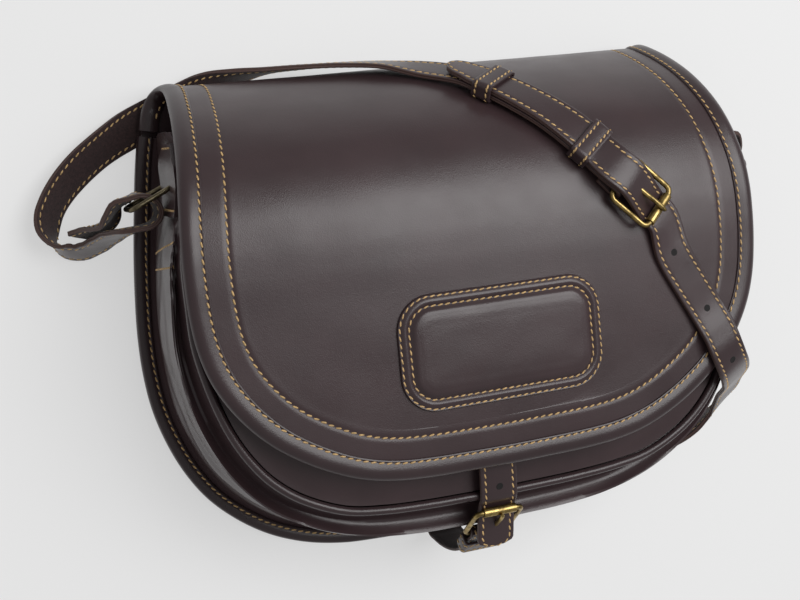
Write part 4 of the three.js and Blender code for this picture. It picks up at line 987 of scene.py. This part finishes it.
def short_rows():
    """Route of the strap's short length: buckle, flap, behind the fold, round the left, ring."""
    axes = shoulder_axes()
    reference = np.array([-1.0, -1.0, 0])
    fold = facing(hinge_fold(axes, STRAP_THICK, [(-9.5, -2.6), (-4, -3.0)]), reference)
    start = facing(np.hstack([at(axes, -5, 0, 2.4), axes["w"]]), reference)
    flap = facing(route_on_flap(FLAP_ROUTE, LIFT_MAIN, np.array([-0.7, 0.7, 0])), reference)
    return np.vstack([fold, start, flap, SHORT_FREE, RING_TURN])


def long_rows():
    """Route of the strap's long length: pointed tip, buckle, flap, ground, beneath, right ring."""
    axes = shoulder_axes()
    reference = np.array([1.0, 0.4, 0])
    up_left = np.array([0.7, -0.7, 0])
    tip = np.array(TIP)
    tip_rows = facing(route_on_flap(tip[:, :2], tip[:, 2], up_left), reference)
    over = facing(route_on_flap(FLAP_ROUTE[::-1], LIFT_TOP, up_left), reference)
    along, height = np.array(SHOULDER_PASS).T
    points = at(axes, along, 0, height)
    buckle = facing(np.hstack([points, np.broadcast_to(axes["w"], points.shape)]), reference)
    lower = facing(route_on_flap(FLAP_LOWER[:, :2], FLAP_LOWER[:, 2], np.array([0.45, -0.9, 0])), reference)
    rows = np.vstack([tip_rows, over, buckle, lower, LONG_FREE, mirror(RING_TURN)])
    half = np.full((len(rows), 1), STRAP_HALF)
    half[:len(tip), 0] = tip[:, 3]
    return np.hstack([rows, half])


def build_straps():
    """Both lengths of the shoulder strap with their stitches and holes."""
    rows = []
    for name, table, node in (("strap_short_leather", short_rows(), "strap_short"),
                              ("strap_long_leather", long_rows(), "strap_long")):
        s, _, across, normal = strap_frames(table)
        if normal[10, 2] < 0:
            normal = -normal
        verts, faces, index = strap_mesh(s, across, normal, STRAP_THICK)
        make_piece(name, verts, faces, [brown_leather(), suede(), raw_edge()], [node],
                   material_index=index)
        rows += strap_rows(s, across, normal, STRAP_THICK)
    sewn("shoulder_strap_stitches", rows)
    # Discs of painted shade stand in for the shadow inside the strap's holes.
    painted_hole_shades("strap_holes_painted_shade", [on_strap(s, normal, spot) for spot in STRAP_HOLES])


def on_strap(s, normal, spot):
    """Point and normal of a strap's outer face at the station nearest to a spot."""
    k = int(np.argmin(np.linalg.norm(s[:, :3] - np.array(spot), axis=1)))
    return s[k, :3] + normal[k] * 1.04 * STRAP_THICK / 2, normal[k]


def painted_hole_shades(name, spots, radius=1.6):
    """Punched holes: a disc of painted shade, standing in for the shadow inside the hole, within a low
    pressed rim on the strap's face.
    """
    r = np.array([1.95, 1.8, 1.6, 1.4, 1.2, 0.6]) * radius / 1.6
    h = np.array([-0.1, 0.08, 0.1, 0.08, 0.05, 0.05])
    a = np.linspace(0, 2 * np.pi, 20, endpoint=False)
    parts = []
    for p, n in spots:
        side = unit(np.cross(n, [0, 1.0, 0]))
        other = np.cross(n, side)
        ring = p + r[:, None, None] * (np.cos(a)[None, :, None] * side + np.sin(a)[None, :, None] * other)
        parts.append(tube(ring + h[:, None, None] * n))
    verts, faces = join(parts)
    # Rim and disc alike take the painted shade of the hole.
    make_piece(name, verts, faces, [hole_painted_shade()])


def build_keepers():
    """Three keepers: a rounded band round the layers of strap, sewn along both edges."""
    table = short_rows()
    s, travel, across, normal = strap_frames(table)
    if normal[10, 2] < 0:
        normal = -normal
    rows = []
    beyond = (s[:, 2] < 50) | (np.arange(len(s)) < 22)
    for name, node, x, y in KEEPERS:
        i = int(np.argmin(np.hypot(s[:, 0] - x, s[:, 1] - y - 2) + 1e3 * beyond))
        rows += keeper_band(name, node, s[i, :3], across[i], normal[i], travel[i], **KEEPER_ROOM)
    axes = closing_axes()
    w = axes["w"]
    up = unit(np.array([0, -0.8, 0.6]))
    rows += keeper_band("closing_keeper_leather", "closing_keeper", np.array(CLOSING_KEEPER), w, up,
                        np.cross(w, up), **CLOSING_KEEPER_ROOM)
    sewn("keeper_stitches", rows, pitch=3.4, length=2.6)


def keeper_band(name, node, centre, across, up, travel, low, high, half, length=11.0, thick=1.4):
    """A band of rounded-rectangle section round the straps; returns its rows of stitches."""
    loop = even_loop(rounded(half, (high - low) / 2, 1.6, 6), 80)
    t = travel_of(loop, closed=True)
    out = np.stack([t[:, 1], -t[:, 0]], axis=1)
    rim = np.array([
        (-0.5, 0), (-0.5, 0.3), (-0.46, 0.46), (-0.36, 0.42), (-0.3, 0.34), (-0.24, 0.44), (0, 0.5),
        (0.24, 0.44), (0.3, 0.34), (0.36, 0.42), (0.46, 0.46), (0.5, 0.3), (0.5, 0), (0.5, -0.45),
        (-0.5, -0.45)])
    u = loop[:, None, 0] + out[:, None, 0] * rim[None, :, 1] * thick
    v = loop[:, None, 1] + out[:, None, 1] * rim[None, :, 1] * thick + (low + high) / 2
    e = np.broadcast_to(rim[None, :, 0] * length, u.shape)
    points = centre + u[..., None] * across + v[..., None] * up + e[..., None] * travel
    verts, faces = tube(points, closed=True)
    make_piece(name, verts, faces, [brown_leather()], [node])
    rows = []
    for side in (-0.3, 0.3):
        p = centre + (loop[:, :1] + out[:, :1] * 0.42 * thick) * across \
            + (loop[:, 1:] + out[:, 1:] * 0.42 * thick + (low + high) / 2) * up + side * length * travel
        n = out[:, :1] * across + out[:, 1:] * up
        row = np.hstack([p, n])
        rows.append(np.vstack([row, row[:1]]))
    return rows


# Brass

def build_buckle(name, node, axes, rise, tip):
    """Cast frame, rolled sleeve on its far bar, and a prong whose eye goes round the hinge bar."""
    length, bore = BUCKLE["length"], BUCKLE["bore"]
    loop = even_loop(rounded(length / 2, BUCKLE["half_width"], BUCKLE["corner"], 8), 120)
    s = loop[:, 0] + length / 2
    path = at(axes, s, loop[:, 1], rise * s / length)
    verts, faces = round_bar(path, axes["n"], BUCKLE["bar"], 16)
    make_piece(f"{name}_frame_brass", verts, faces, [antique_brass()], [f"{node}_frame"])
    across = np.concatenate([[-9.0, -9.0, -8.8], np.linspace(-8.4, 8.4, 9), [8.8, 9.0, 9.0]])
    radius = np.concatenate([[bore, 2.1, 2.34], np.full(9, BUCKLE["roller"]), [2.34, 2.1, bore]])
    a = np.linspace(0, 2 * np.pi, 28, endpoint=False)
    profile = at(axes, length + radius[:, None] * np.cos(a), across[:, None],
                 rise + radius[:, None] * np.sin(a))
    inner = at(axes, length + bore * np.cos(a)[None], across[[-1, 0], None], rise + bore * np.sin(a)[None])
    verts, faces = tube(np.concatenate([profile, inner]), closed=True)
    make_piece(f"{name}_roller_brass", verts, faces, [antique_brass()], [f"{node}_roller"])
    turn = np.radians([-50, -70, -90, -112, -135, -157, 180, 157, 135, 115, 95])
    middle = (PRONG_EYE + tip) / 2
    side = np.concatenate([PRONG_EYE * np.stack([np.cos(turn), np.sin(turn)], axis=1),
                           [(length * 0.25, middle - 0.5), (length * 0.5, middle - 0.1),
                            (length * 0.8, tip - 0.2), (length - 1, tip), (length + 2.4, tip - 0.3)]])
    curve = smooth(np.hstack([side, np.zeros((len(side), 1))]), 60)
    radii = np.interp(np.linspace(0, 1, 60), [0, 0.35, 0.9, 0.985, 1], [1.15, 1.25, 1.2, 1.05, 0.55])
    verts, faces = round_bar(at(axes, curve[:, 0], 0, curve[:, 1]), axes["w"], radii, 12, closed=False)
    make_piece(f"{name}_prong_brass", verts, faces, [antique_brass()], [f"{node}_prong"])


def build_rings():
    """Oblong wire rings and the leather bridges that hold them, one on each side."""
    rows = []
    for side, sign in (("left", 1.0), ("right", -1.0)):
        flip = np.array([sign, 1, 1])
        a, b = np.array([*RING["inner"], 0.0]), np.array([*RING["outer"], 0.0])
        reach = unit(b - a)
        length = np.linalg.norm(b - a)
        loop = even_loop(rounded(length / 2, (RING["high"] - RING["low"]) / 2, RING["corner"], 8), 100)
        path = (a + reach * (loop[:, :1] + length / 2)
                + UP * (loop[:, 1:] + (RING["low"] + RING["high"]) / 2)) * flip
        verts, faces = round_bar(path, unit(np.array([-reach[1], reach[0], 0]) * flip), 1.3, 14)
        make_piece(f"ring_{side}_brass", verts, faces, [ring_brass()], [f"ring_{side}"])
        tab = smooth(TAB_ROWS[:, [1, 0, 2]], 60, span=2)
        t = np.linspace(0, 1, 40)
        x = tab[:, :1] * (1 - t) + tab[:, 2:] * t
        y = np.broadcast_to(tab[:, 1:2], x.shape)
        top = 74 - np.where(tab[:, 1:2] > 90, (tab[:, 1:2] - 90) * 1.25, 0)
        z = np.minimum(39 * (1 - t) + 74 * t, top)
        outer = np.stack([x, y, np.broadcast_to(z, x.shape)], axis=-1)
        inner = outer + np.array([1.8, 0, 0])
        verts, faces = slab(outer * flip, inner * flip)
        make_piece(f"ring_tab_{side}_leather", verts, faces, [brown_leather()],
                   [f"ring_tab_{side}"], merge=True)
        for y_row in (98.8, 69.2):
            k = int(np.argmin(np.abs(tab[:, 1] - y_row)))
            line = outer[k, 2:-2] * flip + np.array([-0.05, 0, 0]) * flip
            rows.append(np.hstack([line, np.broadcast_to(np.array([-1.0, 0, 0]) * flip, line.shape)]))
    sewn("ring_tab_stitches", rows, pitch=3.6, length=2.8)


def build_closing():
    """Closing strap from under the flap through its buckle, and the tab that holds the buckle."""
    axes = closing_axes()
    across = np.array([1.0, 0, 0])
    along, height = np.array(CLOSING_PASS).T
    route = np.vstack([CLOSING_ROUTE, at(axes, along, 0, height)])
    half = np.full((len(route), 1), STRAP_HALF)
    half[-4:, 0] = [10.0, 9.4, 7.6, 4.6]
    rows = np.hstack([route, np.broadcast_to(across, route.shape), half])
    s, _, w, normal = strap_frames(rows, 1.6)
    if normal[5, 2] < 0:
        normal = -normal
    verts, faces, index = strap_mesh(s, w, normal, STRAP_THICK)
    make_piece("closing_strap_leather", verts, faces, [brown_leather(), suede(), raw_edge()],
               ["closing_strap"], material_index=index)
    stitches = strap_rows(s, w, normal, STRAP_THICK, both=False)
    fold = hinge_fold(axes, TAB_THICK, [(-6.6, -1.5), (-3.4, -2.3)])
    tab = np.array([(CLOSING_X, y, z) for y, z in CLOSING_TAB])
    rows = np.vstack([fold, np.hstack([tab, np.broadcast_to(axes["w"], tab.shape)])])
    s, _, w, normal = strap_frames(rows, 1.6)
    k = int(np.argmin(np.abs(s[:, 2] - 31) + np.where(s[:, 1] > -130, 50, 0)))
    if normal[k, 1] > 0:
        normal = -normal
    verts, faces, index = strap_mesh(s, w, normal, TAB_THICK)
    make_piece("closing_tab_leather", verts, faces, [brown_leather(), suede(), raw_edge()],
               ["closing_tab"], material_index=index)
    stitches += strap_rows(s, w, normal, TAB_THICK, both=False)
    sewn("closing_stitches", stitches)
    # A disc of painted shade stands in for the shadow inside the closing strap's hole.
    painted_hole_shades("closing_hole_painted_shade", [(np.array([-4.7, -86.5, 90.75]), unit(np.array([0, -0.2, 0.98])))])


# Stage

PHOTO_WIDTH = 800
FOCAL_PIXELS = 1340.1
CAMERA_RIGHT = np.array([0.9369, -0.0979, 0.3356])
CAMERA_UP = np.array([0.13489, 0.98689, -0.08867])
CAMERA_PLACE = np.array([-0.258215, 0.098602, 0.701845])


def placed(axes, place):
    """Matrix of an object with the given x, y and z axes at a place."""
    return Matrix([[*map(float, row)] for row in np.column_stack([*axes, place])] + [[0, 0, 0, 1]])


def soft_light(name, place, target, size, power):
    """An area light at a place in metres, turned towards a target."""
    data = bpy.data.lights.new(name, "AREA")
    data.shape = "RECTANGLE"
    data.size, data.size_y = size
    data.energy = power
    lamp = bpy.data.objects.new(name, data)
    bpy.context.scene.collection.objects.link(lamp)
    z = unit(np.array(place) - np.array(target))
    x = unit(np.cross([0, 1.0, 0], z))
    lamp.matrix_world = placed((x, np.cross(z, x), z), place)


def build_stage():
    """Light table lit from below, an even sky, one large softbox and the photograph's camera."""
    scene = bpy.context.scene
    mesh = bpy.data.meshes.new("floor")
    corners = [(x, y, scene.bag_sizes.floor_height) for x, y in ((-6, -6), (6, -6), (6, 6), (-6, 6))]
    mesh.from_pydata(corners, [], [(0, 1, 2, 3)])
    mesh.materials.append(light_table())
    floor = bpy.data.objects.new("floor", mesh)
    scene.collection.objects.link(floor)
    world = bpy.data.worlds.new("studio")
    world.use_nodes = True
    world.node_tree.nodes["Background"].inputs["Color"].default_value = (1, 1, 1, 1)
    world.node_tree.nodes["Background"].inputs["Strength"].default_value = 0.35
    scene.world = world
    soft_light("softbox", (0.54, 0.4, 1.3), (0.0, 0.03, 0.1), (1.16, 0.9), 15.0)
    camera_data = bpy.data.cameras.new("camera")
    camera_data.sensor_width = 36.0
    camera_data.lens = FOCAL_PIXELS * camera_data.sensor_width / PHOTO_WIDTH
    camera_data.clip_start = 0.01
    camera = bpy.data.objects.new("camera", camera_data)
    scene.collection.objects.link(camera)
    camera.matrix_world = placed((CAMERA_RIGHT, CAMERA_UP, np.cross(CAMERA_RIGHT, CAMERA_UP)), CAMERA_PLACE)
    scene.camera = camera
    scene.view_settings.view_transform = "Standard"


# Properties, operators and panel

class BagSizes(PropertyGroup):
    """Sizes a maker would change."""
    stitch_pitch: FloatProperty(name="Stitch pitch", description="Distance from stitch to stitch",
                                default=0.004, min=0.002, max=0.008, unit="LENGTH")
    floor_height: FloatProperty(name="Floor height", description="Height of the floor under the straps",
                                default=-0.0038, unit="LENGTH")


def colour(name, description, code):
    """Property of a colour that starts from an sRGB hex value."""
    return FloatVectorProperty(name=name, description=description, subtype="COLOR", size=3, min=0, max=1,
                               default=linear(code))


class BagColours(PropertyGroup):
    """Colours a maker would change."""
    leather: colour("Leather", "Dye of the panels and straps", "#3b2d2f")
    edging: colour("Edging", "Dye of the rolled edging", "#35282a")
    flesh_side: colour("Flesh side", "Back of the strap leather", "#301f1f")
    cut_edge: colour("Cut edge", "Burnished edges of the straps", "#47322d")
    thread: colour("Thread", "Waxed linen thread", "#c6a470")
    brass: colour("Brass", "Rubbed face of the brass", "#b39b62")
    floor: colour("Floor", "Opal top of the light table", "#9c9c9c")


class BAG_OT_stage(Operator):
    """Lay the floor, hang the lights and place the camera"""
    bl_idname = "bag.stage"
    bl_label = "Stage"

    def execute(self, context):
        build_stage()
        return {"FINISHED"}


class BAG_OT_flap(Operator):
    """Make the flap with its rolled edging and two rows of stitches"""
    bl_idname = "bag.flap"
    bl_label = "Flap"

    def execute(self, context):
        build_flap()
        build_flap_edging()
        sewn("flap_stitches", flap_rows())
        return {"FINISHED"}


class BAG_OT_cartouche(Operator):
    """Make the padded cartouche on the flap"""
    bl_idname = "bag.cartouche"
    bl_label = "Cartouche"

    def execute(self, context):
        build_cartouche()
        return {"FINISHED"}


class BAG_OT_body(Operator):
    """Make the back, the bellows sides, the front and their edging"""
    bl_idname = "bag.body"
    bl_label = "Body"

    def execute(self, context):
        lines = build_gusset()
        build_back()
        rows = build_back_edging()
        build_front()
        sewn("back_stitches", rows)
        sewn("side_stitches", lines, pitch=3.6, length=2.7)
        return {"FINISHED"}


class BAG_OT_rings(Operator):
    """Make the side rings and their tabs"""
    bl_idname = "bag.rings"
    bl_label = "Rings"

    def execute(self, context):
        build_rings()
        return {"FINISHED"}


class BAG_OT_straps(Operator):
    """Make the shoulder strap and its keepers"""
    bl_idname = "bag.straps"
    bl_label = "Straps"

    def execute(self, context):
        build_straps()
        build_keepers()
        return {"FINISHED"}


class BAG_OT_buckles(Operator):
    """Make the shoulder buckle and the closing buckle"""
    bl_idname = "bag.buckles"
    bl_label = "Buckles"

    def execute(self, context):
        build_buckle("shoulder_buckle", "strap_buckle", shoulder_axes(), 1.5, 5.2)
        build_buckle("closing_buckle", "closing_buckle", closing_axes(), 0.0, 3.9)
        return {"FINISHED"}


class BAG_OT_closing(Operator):
    """Make the closing strap and its tab"""
    bl_idname = "bag.closing"
    bl_label = "Closing strap"

    def execute(self, context):
        build_closing()
        return {"FINISHED"}


STEPS = (BAG_OT_stage, BAG_OT_flap, BAG_OT_cartouche, BAG_OT_body, BAG_OT_rings, BAG_OT_straps,
         BAG_OT_buckles, BAG_OT_closing)


class BAG_PT_panel(Panel):
    """Lists the bag's sizes, colours and pieces"""
    bl_label = "Hunting Bag"
    bl_idname = "BAG_PT_panel"
    bl_space_type = "VIEW_3D"
    bl_region_type = "UI"
    bl_category = "Hunting Bag"

    def draw(self, context):
        layout = self.layout
        for group in (context.scene.bag_sizes, context.scene.bag_colours):
            for name in group.__annotations__:
                layout.prop(group, name)
        for step in STEPS:
            layout.operator(step.bl_idname)


CLASSES = (BagSizes, BagColours, *STEPS, BAG_PT_panel)


def register():
    for item in CLASSES:
        bpy.utils.register_class(item)
    bpy.types.Scene.bag_sizes = PointerProperty(type=BagSizes)
    bpy.types.Scene.bag_colours = PointerProperty(type=BagColours)


def unregister():
    del bpy.types.Scene.bag_colours
    del bpy.types.Scene.bag_sizes
    for item in reversed(CLASSES):
        bpy.utils.unregister_class(item)


def main():
    register()
    for step in STEPS:
        group, name = step.bl_idname.split(".")
        getattr(getattr(bpy.ops, group), name)()


if __name__ == "__main__":
    main()
